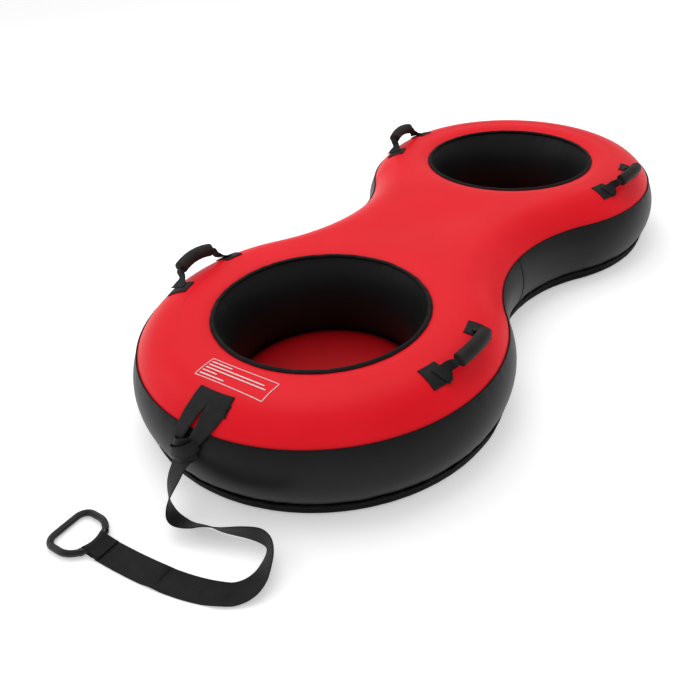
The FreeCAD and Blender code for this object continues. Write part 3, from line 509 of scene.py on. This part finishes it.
def weave(name, dark, light, roughness, rib_scale):
    """Woven cloth with ribs along it: 3 mm apart at a scale of 105, coarser than real to show."""
    material = finish(name, dark, light, roughness, mottle=45, grain=1500, relief=0.4)
    tree = material.node_tree
    shader = tree.nodes["Principled BSDF"]
    where = add_node(tree, "ShaderNodeTexCoord").outputs["UV"]
    ribs = add_node(tree, "ShaderNodeTexWave", {"Vector": where, "Scale": rib_scale}, bands_direction="X")
    weft = add_node(tree, "ShaderNodeTexWave", {"Vector": where, "Scale": rib_scale * 1.7,
                                                "Distortion": 0.6}, bands_direction="Y")
    both = add_node(tree, "ShaderNodeMath", {0: ribs.outputs["Fac"], 1: weft.outputs["Fac"]}, operation="ADD")
    woven = add_node(tree, "ShaderNodeBump", {
        "Height": both.outputs["Value"], "Normal": shader.inputs["Normal"].links[0].from_socket,
        "Strength": 0.55, "Distance": 0.0005})
    tree.links.new(woven.outputs["Normal"], shader.inputs["Normal"])
    return material


def webbing_band(mesh, grid, thick):
    """A closed band of webbing whose middle sheet is this grid of points, row after row."""
    uv = mesh.loops.layers.uv.verify()
    last, edge = len(grid) - 1, len(grid[0]) - 1
    rows, marks, run = [], [], 0.0
    for i, row in enumerate(grid):
        before, after = grid[max(i - 1, 0)], grid[min(i + 1, last)]
        run += (row[edge // 2] - before[edge // 2]).length if i else 0.0
        upper, lower, where, width = [], [], [], 0.0
        for k, spot in enumerate(row):
            width += (spot - row[k - 1]).length if k else 0.0
            beside = row[min(k + 1, edge)] - row[max(k - 1, 0)]
            half = thick[i] / 2 * (0.4 if k in (0, edge) else 1.0)
            lift = (after[k] - before[k]).cross(beside).normalized() * half
            upper.append(mesh.verts.new(spot + lift))
            lower.append(mesh.verts.new(spot - lift))
            where.append((width, run))
        rows.append(upper + lower[::-1])
        marks.append(where + where[::-1])
    count = len(rows[0])
    for i in range(last):
        for k in range(count):
            m = (k + 1) % count
            face = mesh.faces.new((rows[i][k], rows[i + 1][k], rows[i + 1][m], rows[i][m]))
            spots = (marks[i][k], marks[i + 1][k], marks[i + 1][m], marks[i][m])
            for loop, mark in zip(face.loops, spots):
                loop[uv].uv = mark
    for row in (rows[0], rows[-1]):
        for k in range(edge):
            mesh.faces.new((row[k], row[k + 1], row[count - 2 - k], row[count - 1 - k]))


def worked_out(holder):
    """The plain mesh that an object comes to once its curve or modifier is worked out."""
    scene_objects.link(holder)
    bpy.context.view_layer.update()
    made = bpy.data.meshes.new_from_object(holder.evaluated_get(bpy.context.evaluated_depsgraph_get()))
    bpy.data.objects.remove(holder)
    return made


def follow(points, steps):
    """Points along a smooth curve drawn through control points."""
    curve = bpy.data.curves.new("route", "CURVE")
    curve.dimensions = "3D"
    spline = curve.splines.new("NURBS")
    spline.points.add(len(points) - 1)
    for control, point in zip(spline.points, points):
        control.co = (*point, 1.0)
    spline.order_u = 3
    spline.use_endpoint_u = True
    spline.resolution_u = steps
    drawn = worked_out(bpy.data.objects.new("route", curve))
    found = [v.co.copy() for v in drawn.vertices]
    bpy.data.curves.remove(curve)
    bpy.data.meshes.remove(drawn)
    return found


def ribbon(mesh, keys, steps=6, crease=0.0):
    """Webbing drawn smoothly through keys of (middle, half its width across, thickness).

    crease is how high its slack folds lift, dying away towards both ends.
    """
    left, middle, right = [follow([spot + across * side for spot, across, _ in keys], steps)
                           for side in (-1, 0, 1)]
    grid, thick = [], []
    for i, spot in enumerate(middle):
        half = (right[i] - left[i]) / 2
        rise = crease * max(0.0, noise.noise(spot * 26)) * min(1.0, i / 20, (len(middle) - 1 - i) / 20)
        grid.append([spot + half * a + Vector((0, 0, rise * (1 + 0.5 * a))) for a in ACROSS])
        at = i / (len(middle) - 1) * (len(keys) - 1)
        k = min(int(at), len(keys) - 2)
        thick.append(keys[k][2] + (at - k) * (keys[k + 1][2] - keys[k][2]))
    webbing_band(mesh, grid, thick)
    return middle


def repeater(name, shape, material):
    """A node tree that sets a small shape along a mesh's edges, every so often."""
    tree = bpy.data.node_groups.new(name, "GeometryNodeTree")
    tree.interface.new_socket("Geometry", in_out="INPUT", socket_type="NodeSocketGeometry")
    for label, value in (("Pitch", 0.004), ("Length", 0.003), ("Width", 0.0008), ("Depth", 0.0006)):
        socket = tree.interface.new_socket(label, in_out="INPUT", socket_type="NodeSocketFloat")
        socket.default_value = value
    tree.interface.new_socket("Geometry", in_out="OUTPUT", socket_type="NodeSocketGeometry")
    given = add_node(tree, "NodeGroupInput")
    line = add_node(tree, "GeometryNodeMeshToCurve", {"Mesh": given.outputs["Geometry"]})
    level = add_node(tree, "GeometryNodeSetCurveNormal", {"Curve": line.outputs["Curve"]})
    spots = add_node(tree, "GeometryNodeCurveToPoints", {
        "Curve": level.outputs["Curve"], "Length": given.outputs["Pitch"]}, mode="LENGTH")
    scale = add_node(tree, "ShaderNodeCombineXYZ", {
        "X": given.outputs["Width"], "Y": given.outputs["Depth"], "Z": given.outputs["Length"]})
    small = add_node(tree, "GeometryNodeTransform", {"Scale": scale.outputs["Vector"]})
    tree.links.new(add_node(tree, *shape).outputs["Mesh"], small.inputs["Geometry"])
    placed = add_node(tree, "GeometryNodeInstanceOnPoints", {
        "Points": spots.outputs["Points"], "Instance": small.outputs["Geometry"],
        "Rotation": spots.outputs["Rotation"]})
    real = add_node(tree, "GeometryNodeRealizeInstances", {"Geometry": placed.outputs["Instances"]})
    dressed = add_node(tree, "GeometryNodeSetMaterial", {
        "Geometry": real.outputs["Geometry"], "Material": material})
    tree.links.new(dressed.outputs["Geometry"], add_node(tree, "NodeGroupOutput").inputs["Geometry"])
    return tree


def repeated(name, lines, tree, **sizes):
    """A piece made by running a repeater over these lines of points."""
    data = bpy.data.meshes.new(f"{name}_lines")
    points = [tuple(p) for line in lines for p in line]
    edges, first = [], 0
    for line in lines:
        edges += [(first + i, first + i + 1) for i in range(len(line) - 1)]
        first += len(line)
    data.from_pydata(points, edges, [])
    holder = bpy.data.objects.new(f"{name}_lines", data)
    modifier = holder.modifiers.new("repeat", "NODES")
    modifier.node_group = tree
    for item in tree.interface.items_tree:
        if item.in_out == "INPUT" and item.name in sizes:
            modifier[item.identifier] = sizes[item.name]
    made = worked_out(holder)
    mesh = bmesh.new()
    mesh.from_mesh(made)
    bpy.data.meshes.remove(made)
    return mesh


# Polyester webbing is black with ribs that catch a dull light. Its thread is a shade paler.
webbing = weave("polyester_webbing", "0F0F0F", "191919", 0.58, 105)
thread = finish("polyester_thread", "202020", "303030", 0.6, mottle=200, relief=0.3)
stitch = repeater(
    "stitch_run", ("GeometryNodeMeshUVSphere", {"Segments": 6, "Rings": 4, "Radius": 0.5}), thread)
seam_lines = []


def sewn_patch(mesh, well, start, end, inner, outer, lift):
    """Webbing sewn flat on the shoulder between two angles and two radii, and its stitch lines."""
    def spot(share, radius, height):
        angle = start + (end - start) * share
        return on_cover(radius * cos(angle), well + radius * sin(angle), height)
    grid = [[spot(i / 10, (inner + outer) / 2 + (outer - inner) / 2 * a, lift) for a in ACROSS]
            for i in range(11)]
    webbing_band(mesh, grid, [0.0022] * 11)
    edge = 0.0035
    ease = edge / abs((end - start) * outer)
    loop = [(ease + (1 - 2 * ease) * i / 8, inner + edge) for i in range(9)]
    loop += [(1 - ease, inner + edge + (outer - inner - 2 * edge) * i / 4) for i in range(1, 5)]
    loop += [(share, outer - edge) for share, _ in loop[8::-1]]
    loop += [(ease, outer - edge - (outer - inner - 2 * edge) * i / 4) for i in range(1, 5)]
    seam_lines.append([spot(share, radius, lift + 0.0012) for share, radius in loop])
    return spot


# ------------------------------------------------------------------ waist seams
# The side panels meet at the waist in a flat felled seam, with a row of stitches either side.
waist_seams = bmesh.new()
for sign in (1, -1):
    rows = [[Vector((sign * (WAIST_X - OUTER_R - FILLET_R + r + 0.0006), 0.006 * a, z)) for a in ACROSS]
            for r, z in SIDE]
    webbing_band(waist_seams, rows, [0.0010] * len(SIDE))
    seam_lines += [[row[0] + Vector((sign * 0.0005, 0.006 + y, 0)) for row in rows] for y in (-0.004, 0.004)]
piece_from("waist_seams", waist_seams, black_cloth)

# ------------------------------------------------------------------ carrying handles
# Each is a foam grip over a roll of webbing, between two patches sewn on the shoulder. The
# webbing gathers to a neck at each patch. The real webbing bends there; these tabs stay fixed.
# Closed-cell foam is brownish black and matt, with an open, uneven skin.
foam = finish("grip_foam", "1B1816", "28231F", 0.66, mottle=30, grain=700, relief=0.8, spread=0.1)
HANDLES = {"front_left": (-1, -1, 1.2, 34), "front_right": (-1, 1, -1.2, 52),
           "rear_left": (1, -1, 4.0, 34), "rear_right": (1, 1, -4.0, 52)}
PATCH_IN, PATCH_OUT, PATCH_R = 0.304, 0.350, 0.327
ARCH_R, GRIP_RISE, GRIP_HALF = 0.148, 0.029, 0.050
for name, (well_sign, side_sign, turn, lean) in HANDLES.items():
    well = well_sign * WELL_Y
    angle = (0 if side_sign > 0 else pi) + radians(turn)
    out = Vector((cos(angle), sin(angle), 0.0))
    along = Vector((0, 0, 1)).cross(out)
    foot = on_cover(PATCH_R * out.x, well + PATCH_R * out.y)
    hinge = on_cover(PATCH_R * out.x, well + PATCH_R * out.y, 0.010)
    normal = (hinge - foot).normalized()
    rise = out * sin(radians(lean)) + Vector((0, 0, cos(radians(lean))))
    cover_across, grip_across = along.cross(normal), along.cross(rise)

    def arch(run, lift=0.0, aside=0.0):
        """The spot this far round the grip's arch from its middle."""
        bend = run / ARCH_R
        radial = rise * cos(bend) + along * sin(bend)
        return hinge + rise * (GRIP_RISE - ARCH_R) + radial * (ARCH_R + lift) + grip_across * aside

    for tab, sign in (("first", 1), ("second", -1)):
        mesh = bmesh.new()
        first, last = (angle + sign * reach / PATCH_R for reach in (0.060, 0.105))
        sewn_patch(mesh, well, first, last, PATCH_IN, PATCH_OUT, 0.0013)
        keys = []
        for reach, half, lift in ((0.082, 0.0205, 0.0034), (0.077, 0.0205, 0.0036), (0.072, 0.0200, 0.0046),
                                  (0.0680, 0.0180, 0.0068), (0.064, 0.0140, 0.0090)):
            spot = foot + along * sign * reach
            keys.append((on_cover(spot.x, spot.y, lift), cover_across * half, 0.0024))
        for reach, up, half, thick in ((0.0595, 0.0012, 0.0112, 0.0036), (0.0560, 0.0055, 0.0100, 0.0042),
                                       (0.0560, 0.0120, 0.0098, 0.0046), (0.0558, 0.0172, 0.0088, 0.0052)):
            keys.append((hinge + along * sign * reach + rise * up, grip_across * half, thick))
        keys += [(arch(sign * run), grip_across * 0.0060, 0.0060) for run in (0.052, 0.047, 0.042)]
        ribbon(mesh, keys, 5)
        piece_from(f"{name}_{tab}_webbing", mesh, webbing,
                   replaces=[f"{name}_handle_{tab}_tab"],
                   blend=("root", f"{name}_handle",
                          hinge + along * sign * 0.066, hinge + along * sign * 0.0575))
        seam_lines.append([on_cover(*(foot + along * sign * 0.073 + cover_across * aside).xy, 0.0049)
                           for aside in (-0.0125, 0.0125)])
    core = bmesh.new()
    ribbon(core, [(arch(run), grip_across * 0.0055, 0.0070) for run in
                  (-0.054, -0.040, -0.020, 0.0, 0.020, 0.040, 0.054)], 5)
    piece_from(f"{name}_core_webbing", core, webbing, body=f"{name}_handle",
               replaces=[f"{name}_handle_strap"])
    grip = bmesh.new()
    ends = [(1.0, 0.30), (1.0, 0.72), (0.992, 0.90), (0.975, 0.97)]
    shape = [(-s, r) for s, r in ends]
    shape += [(-0.92 + 0.092 * i, 1.0 + 0.012 * cos(i * 1.9)) for i in range(21)] + ends[::-1]
    rows = []
    for share, swell in shape:
        row = []
        for k in range(28):
            around = 2 * pi * k / 28
            radius = 0.0147 * swell
            row.append(grip.verts.new(arch(share * GRIP_HALF, radius * 0.98 * cos(around),
                                           radius * sin(around))))
        rows.append(row + row[:1])
    skin(grip, rows, closed=False)
    grip.faces.new(rows[0][:-1])
    grip.faces.new(rows[-1][:-1])
    piece_from(f"{name}_foam_grip", grip, foam, body=f"{name}_handle",
                         replaces=[f"{name}_handle_grip"])

# ------------------------------------------------------------------ zip
# A coarse moulded zip on woven tape across the port stern quarter, where the bladder goes in.
# Its slider runs along the teeth, and the pull hangs from the slider.
ZIP_Z, ZIP_START, ZIP_END, TAPE_R = 0.094, radians(112), radians(168), 0.4038


def on_zip(angle, radius, up=0.0):
    return Vector((radius * cos(angle), WELL_Y + radius * sin(angle), ZIP_Z + up))


def round_zip(i):
    """The angle of the tape's station i of 60."""
    return ZIP_START + (ZIP_END - ZIP_START) * i / 60


# The tape is a plain dull weave. Acetal teeth and an enamelled zinc slider shine softly on it.
zip_weave = weave("zip_tape_cloth", "161616", "1E1E1E", 0.7, 200)
zip_mesh = bmesh.new()
webbing_band(zip_mesh, [[on_zip(round_zip(i), TAPE_R + 0.0003 * noise.noise((i * 0.35, a * 2, 4.0)),
                                a * 0.0139) for a in ACROSS] for i in range(61)], [0.0009] * 61)
for low in (-0.0023, 0.0006):
    webbing_band(zip_mesh, [[on_zip(round_zip(i), 0.40475, low + 0.0017 * a) for a in (0, 0.3, 0.7, 1)]
                            for i in range(61)], [0.0009] * 61)
piece_from("zip_tape_strip", zip_mesh, zip_weave, replaces=["zip_tape"])
acetal = finish("acetal_teeth", "1A1A1B", "242425", 0.3, mottle=90, grain=500, relief=0.1)
tooth = repeater("tooth_row", ("GeometryNodeMeshCube", {}), acetal)
half_tooth = 0.0016 / 0.4055
tooth_lines = [[on_zip(ZIP_START + 0.001 + shift + (ZIP_END - ZIP_START - 0.006) * i / 80, 0.4056, up)
                for i in range(81)] for shift, up in ((0.0, 0.0010), (half_tooth, -0.0010))]
teeth = repeated("zip_teeth", tooth_lines, tooth, Pitch=0.0032, Length=0.0014, Width=0.0022,
                 Depth=0.0034)
piece_from("zip_teeth", teeth, acetal, replaces=["zip_chain"])
metal = finish("enamelled_zinc", "1C1C1E", "2A2A2C", 0.3, mottle=40, grain=300, relief=0.1)
metal.node_tree.nodes["Principled BSDF"].inputs["Metallic"].default_value = 0.6
slider_at = ZIP_END - radians(1.0 + 1.1)
slider = bmesh.new()
rows = []
for i in range(9):
    run = -0.0076 + 0.0019 * i
    half = 0.0058 - 0.0016 * max(0.0, run / 0.0076)**2
    crown = 0.4086 - 0.0006 * (run / 0.0076)**2
    rows.append([on_zip(slider_at + run / 0.41, crown - 0.0003 * a * a, half * a) for a in ACROSS])
webbing_band(slider, rows, [0.0014, 0.0019] + [0.0021] * 5 + [0.0019, 0.0014])
for sign in (-1, 1):
    webbing_band(slider, [[on_zip(slider_at + (-0.0074 + 0.00185 * i) / 0.41, 0.4047 + 0.0036 * t,
                                  sign * 0.0046) for t in (0, 0.3, 0.7, 1)] for i in range(9)], [0.0016] * 9)
piece_from("zip_slider_body", slider, metal, body="zip_slider", replaces=["zip_slider"])
out = Vector((cos(slider_at), sin(slider_at), 0))
hanging = out.cross(Vector((0, 0, 1)))
root_spot = on_zip(slider_at, 0.4101)
pull = bmesh.new()
outline = [(0.0003, 0.0022), (0.0022, 0.0034), (0.0060, 0.0026), (0.0100, 0.0028), (0.0170, 0.0037),
           (0.0215, 0.0038), (0.0236, 0.0024)]
rows = []
for reach, half in outline:
    rows.append([root_spot + hanging * reach + out * (0.0008 + 0.0002 * cos(reach * 400))
                 + Vector((0, 0, half * a)) for a in ACROSS])
webbing_band(pull, rows, [0.0010, 0.0015, 0.0014, 0.0014, 0.0014, 0.0014, 0.0009])
piece_from("zip_pull_tab", pull, metal, body="zip_pull", replaces=["zip_pull"])

# ------------------------------------------------------------------ tow point
# A doubled webbing patch on the bow. Its two ends come down side by side, leave a gap and
# gather into the strap's own loop, which is hitched round them.
patch = bmesh.new()
BOW_ANGLE, PATCH_HALF = -pi / 2 + radians(1.4), radians(6.8)
on_patch = sewn_patch(patch, -WELL_Y, BOW_ANGLE - PATCH_HALF, BOW_ANGLE + PATCH_HALF, 0.325, 0.361, 0.0013)
seam_lines.append([on_patch(0.5, radius, 0.0025) for radius in (0.328, 0.340, 0.350, 0.358)])
piece_from("tow_patch_webbing", patch, webbing, replaces=["tow_patch"])


def millimetres(*point):
    """A point of the tow webbing's route, which is laid out in millimetres."""
    return Vector(point) / 1000


for name, edges in {
        "port": (((-31, -800, 199.5), (7, -800, 200)), ((-34, -822, 190), (3, -824, 190)),
                 ((-41, -846, 162), (-9, -847, 166)), ((-44, -864, 140), (-18, -868, 142)),
                 ((-42, -870, 124), (-20, -874, 124))),
        "starboard": (((6, -800, 200), (52, -797, 198.5)), ((4, -824, 190), (50, -817, 190)),
                      ((1, -847, 164), (36, -843, 163)), ((-8, -868, 141), (18, -861, 142)),
                      ((-12, -874, 124), (6, -870, 124)))}.items():
    leg = bmesh.new()
    keys = [((millimetres(*a) + millimetres(*b)) / 2, (millimetres(*b) - millimetres(*a)) / 2, 0.0023)
            for a, b in edges]
    ribbon(leg, keys, 8)
    piece_from(f"tow_loop_{name}_webbing", leg, webbing, replaces=[f"tow_loop_{name}_leg"])
hitch = bmesh.new()
for keys in (
        (((-47, -860, 112), (3, 1, 10)), ((-44, -876, 118), (2, 2, 11)), ((-26, -884, 124), (-2, 0, 12)),
         ((-6, -882, 130), (-4, 0, 12)), ((10, -872, 137), (-5, 0, 11)), ((14, -858, 141), (-4, 0, 9))),
        (((-42, -858, 134), (3, 2, 7)), ((-34, -872, 139), (2, 3, 8)), ((-18, -876, 143), (0, 3, 7)),
         ((-4, -868, 147), (0, 2, 6)), ((6, -854, 148), (0, 2, 5))),
        (((-44, -868, 104), (5, 0, 7)), ((-34, -880, 108), (2, -1, 8)), ((-14, -884, 111), (0, -1, 9)),
         ((6, -878, 116), (-2, 0, 9)), ((13, -864, 122), (-3, 1, 9)))):
    ribbon(hitch, [(millimetres(*spot), millimetres(*across), 0.0026) for spot, across in keys], 8)
piece_from("strap_hitch", hitch, webbing, replaces=["tow_strap_hitch"])

# ------------------------------------------------------------------ tow strap
# 0.69 m of flat webbing, as long as it lies here from end to end. It drops off the bow on its
# face, rolls on to its edge round a narrow bight, and lies flat again on the way to the handle.
STRAP_ROUTE = [
    ((-15, -872, 111), (0.98, -0.18, 0.06)), ((-17, -886, 97), (0.92, -0.15, 0.36)),
    ((-19, -900, 81), (0.91, -0.27, 0.32)), ((-20, -913, 64), (0.82, -0.42, 0.38)),
    ((-16, -924, 48), (0.61, -0.45, 0.65)), ((-9, -932, 37), (0.44, -0.65, 0.62)),
    ((2, -938, 27), (0.26, -0.79, 0.55)), ((17, -939, 22), (0.25, -0.84, 0.48)),
    ((35, -935, 20), (0.40, -0.72, 0.57)), ((56, -927, 22), (0.50, -0.56, 0.66)),
    ((78, -918, 22), (0.53, -0.45, 0.72)), ((100, -913, 24.5), (0.48, -0.30, 0.82)),
    ((122, -904, 25.3), (0.42, -0.20, 0.88)), ((145, -894, 25.6), (0.32, -0.12, 0.94)),
    ((167, -889, 25.8), (0.27, -0.05, 0.96)), ((187, -893, 25.8), (0.37, -0.10, 0.92)),
    ((201, -908, 24.5), (0.58, -0.15, 0.80)), ((210, -928, 21), (0.72, -0.20, 0.66)),
    ((215, -950, 15.5), (0.85, -0.30, 0.43)), ((211, -972, 9), (0.86, -0.47, 0.20)),
    ((197, -991, 4.2), (0.75, -0.65, 0.08)), ((176, -1005, 2), (0.55, -0.83, 0)),
    ((150, -1014, 1.6), (0.42, -0.91, 0)), ((124, -1022, 1.6), (0.3, -0.95, 0)),
    ((97, -1028, 1.6), (0.2, -0.98, 0)), ((68, -1033, 1.6), (0.12, -0.99, 0)),
    ((36, -1037, 1.6), (0.08, -1, 0)), ((2, -1040, 1.6), (0.05, -1, 0)),
    ((-32, -1042, 1.6), (0.02, -1, 0)), ((-64, -1043, 1.6), (0, -1, 0)),
]
STRAP_HALF, STRAP_THICK = 0.025, 0.0022
strap = bmesh.new()
keys = [(millimetres(*spot), Vector(out).normalized() * STRAP_HALF, STRAP_THICK) for spot, out in STRAP_ROUTE]
strap_line = ribbon(strap, keys, 6, 0.004)
strap_bend = ("root", "tow_handle", (-0.062, -1.045, 0.0027), (-0.073, -1.045, 0.0027))
strap_piece = piece_from("tow_strap_webbing", strap, webbing, replaces=["tow_strap"],
                         blend=strap_bend)
fold = bmesh.new()
fold_keys = [(spot + Vector((0, 0, lift)), across * 0.985, STRAP_THICK) for (spot, across, _), lift in
             zip(keys[-5:], (0.0019, 0.0024, 0.0024, 0.0024, 0.0024))]
fold_keys[-1][0].x = -0.0575
ribbon(fold, fold_keys, 6)
fold_piece = piece_from("tow_strap_doubling", fold, webbing, replaces=["tow_strap_fold"],
                        blend=strap_bend)
for (spot, across, _), (after, _, _) in ((keys[-5], keys[-4]), (keys[-2], keys[-1])):
    for step in (0.15, 0.32):
        middle = spot.lerp(after, step) + Vector((0, 0, 0.0036))
        seam_lines.append([middle + across * a for a in (-0.88, -0.3, 0.3, 0.88)])

# ------------------------------------------------------------------ D handle
# Moulded nylon, grooved lengthwise along its bow and lying on its grip. The strap's end is
# sewn round the bow between two moulded collars. Here that loop is fixed and does not turn.
BOW_R, STRAIGHT, CORNER_R, BAR_R = 0.0455, 0.017, 0.0215, 0.0065
APEX = Vector((-0.083, -1.045, 0.0094))
TILT = atan((APEX.z - BAR_R - 0.0001) / (BOW_R + STRAIGHT + CORNER_R))
RING_X, RING_UP = Vector((cos(TILT), 0, sin(TILT))), Vector((-sin(TILT), 0, cos(TILT)))
RING_Y = Vector((0, 1, 0))
BOW_MIDDLE = APEX - RING_X * BOW_R
CORNER_Y = BOW_R - CORNER_R


def corner(start, middle_y):
    """A rounded corner of the D, from this angle on, about a centre at this height."""
    turns = [radians(start + 7.5 * i) for i in range(13)]
    return [(-STRAIGHT + CORNER_R * cos(a), middle_y + CORNER_R * sin(a),
             cos(a), sin(a), 90) for a in turns]


# Each stop is a place in the ring's plane, the way out from it, and its angle on the bow.
ring_path = [(BOW_R * cos(a), BOW_R * sin(a), cos(a), sin(a), degrees(a))
             for a in (radians(-90 + 2.5 * i) for i in range(73))]
ring_path += [(-STRAIGHT * i / 5, BOW_R, 0, 1, 90) for i in range(1, 5)] + corner(90, CORNER_Y)
ring_path += [(-STRAIGHT - CORNER_R, CORNER_Y * (1 - 2 * i / 12), -1, 0, 90) for i in range(1, 12)]
ring_path += corner(180, -CORNER_Y) + [(-STRAIGHT * i / 5, -BOW_R, 0, -1, 90) for i in range(4, 0, -1)]
# Moulded nylon is the glossiest piece, near black, with clear but soft highlights.
nylon = finish("moulded_nylon", "060606", "0A0A0B", 0.20, mottle=25, grain=600, relief=0.06,
               spread=0.04, shine=0.36)
handle = bmesh.new()
rows = []
for x, y, nx, ny, bow in ring_path:
    spot = BOW_MIDDLE + RING_X * x + RING_Y * y
    away = RING_X * nx + RING_Y * ny
    collar = exp(-((abs(bow) - 37) / 3.2)**2) * 0.0011
    groove = 0.0010 if 41 < abs(bow) < 91 else 0.0
    row = []
    for k in range(72):
        around = 2 * pi * k / 72
        dip = groove * sum(exp(-((degrees(around) % 180 - at) / 9)**2) for at in (52, 90, 128))
        radius = BAR_R + collar - dip
        row.append(handle.verts.new(spot + away * radius * cos(around)
                                    + RING_UP * radius * sin(around)))
    rows.append(row + row[:1])
skin(handle, rows)
handle_piece = piece_from("d_handle", handle, nylon, body="tow_handle",
                          replaces=["tow_handle"])
WRAP_R = 0.0078         # from the bow's middle to the middle of the webbing round it
wrap = bmesh.new()
columns = []
for i in range(11):
    share = -1 + 0.2 * i
    bend = radians(29 * share)
    bar = BOW_MIDDLE + (RING_X * cos(bend) + RING_Y * sin(bend)) * BOW_R
    tail = Vector((-0.0565, -1.0435 + 0.0249 * share, 0.0040))
    ahead = tail - bar
    reach = ahead.length
    ahead.normalize()
    up = ahead.cross(RING_Y).normalized() * -1
    stretch = 1 / cos(abs(bend) * 0.8)
    column = [bar + ahead * (reach * s) + up * h for s, h in
              ((1.0, 0.0001), (0.86, 0.0001), (0.74, 0.0006), (0.62, 0.0019), (0.50, 0.0038))]
    for k in range(21):
        around = radians(42 + 276 * k / 20)
        column.append(bar + ahead * WRAP_R * stretch * cos(around) + up * WRAP_R * sin(around))
    column += [bar + ahead * (reach * s) - up * h for s, h in
               ((0.50, 0.0041), (0.62, 0.0032), (0.74, 0.0026), (0.86, 0.0023), (1.0, 0.0023))]
    columns.append(column)
webbing_band(wrap, [list(row) for row in zip(*columns)], [0.0021] * len(columns[0]))
loop_piece = piece_from("handle_loop_webbing", wrap, webbing, replaces=["handle_loop"],
                        blend=strap_bend)

# ------------------------------------------------------------------ stitching
# Lock stitches along the bindings, the hem, the patches and the strap's doubled end.
RIM_STITCH_R = 0.2292
for well in WELLS.values():
    turns = [a * pi / 90 for a in range(181)]
    seam_lines.append([(RIM_STITCH_R * cos(turn), well + RIM_STITCH_R * sin(turn), RIM_Z + 0.0048)
                       for turn in turns])
hem_line = [(*place(station, HEM_R + 0.0042), HEM_Z - 0.0045) for station in STATIONS[::2]]
seam_lines.append(hem_line + hem_line[:1])
stitches = repeated("seam_threads", seam_lines, stitch, Pitch=0.0042, Length=0.0032, Width=0.0009,
                    Depth=0.0009)
piece_from("seam_threads", stitches, thread)

# ------------------------------------------------------------------ stage, light and camera
# A white sweep under large soft lights, seen from the towing end's starboard side.
floor_mesh = bmesh.new()
bmesh.ops.create_grid(floor_mesh, x_segments=1, y_segments=1, size=30)
floor_data = bpy.data.meshes.new("studio_floor")
floor_mesh.to_mesh(floor_data)
floor_mesh.free()
studio_floor = bpy.data.objects.new("studio_floor", floor_data)
scene_objects.link(studio_floor)
# Studio paper is matt white, and glows a little as a sweep lit from behind does.
paper = bpy.data.materials.new("studio_paper")
paper.use_nodes = True
for name, value in (("Base Color", from_hex("FAFAFA")), ("Roughness", 0.9),
                    ("Emission Color", from_hex("FFFFFF")), ("Emission Strength", 0.35)):
    paper.node_tree.nodes["Principled BSDF"].inputs[name].default_value = value
floor_data.materials.append(paper)

sky = bpy.data.worlds.new("studio_light")
sky.use_nodes = True
for name, value in (("Color", (1, 1, 1, 1)), ("Strength", 0.62)):
    sky.node_tree.nodes["Background"].inputs[name].default_value = value
bpy.context.scene.world = sky
bpy.context.scene.view_settings.view_transform = "Standard"


def soft_box(name, spot, aim, size, power):
    lamp = bpy.data.lights.new(name, "AREA")
    lamp.shape = "RECTANGLE"
    lamp.size, lamp.size_y = size
    lamp.energy = power
    holder = bpy.data.objects.new(name, lamp)
    holder.location = spot
    holder.rotation_euler = (Vector(aim) - Vector(spot)).to_track_quat("-Z", "Y").to_euler()
    scene_objects.link(holder)


soft_box("overhead_box", (-0.9, 0.4, 2.8), (0, 0, 0), (2.6, 2.6), 36)
soft_box("left_box", (-2.6, -1.6, 1.9), (0, -0.3, 0.1), (1.6, 1.6), 12)

CAMERA_AT = Vector((0.8298, -1.5018, 1.0239))
CAMERA_AIM = Vector((-0.0330, -0.3242, 0.0))
CAMERA_ROLL = radians(-3.81)
lens = bpy.data.cameras.new("camera")
lens.lens = 38.89
lens.sensor_width = 36.0
camera = bpy.data.objects.new("camera", lens)
look = (CAMERA_AIM - CAMERA_AT).normalized()
level = look.cross(Vector((0, 0, 1))).normalized()
above = level.cross(look)
across = level * cos(CAMERA_ROLL) + above * sin(CAMERA_ROLL)
upward = (-look).cross(across)
camera.matrix_world = Matrix.Translation(CAMERA_AT) @ Matrix((across, upward, -look)).transposed().to_4x4()
scene_objects.link(camera)
bpy.context.scene.camera = camera
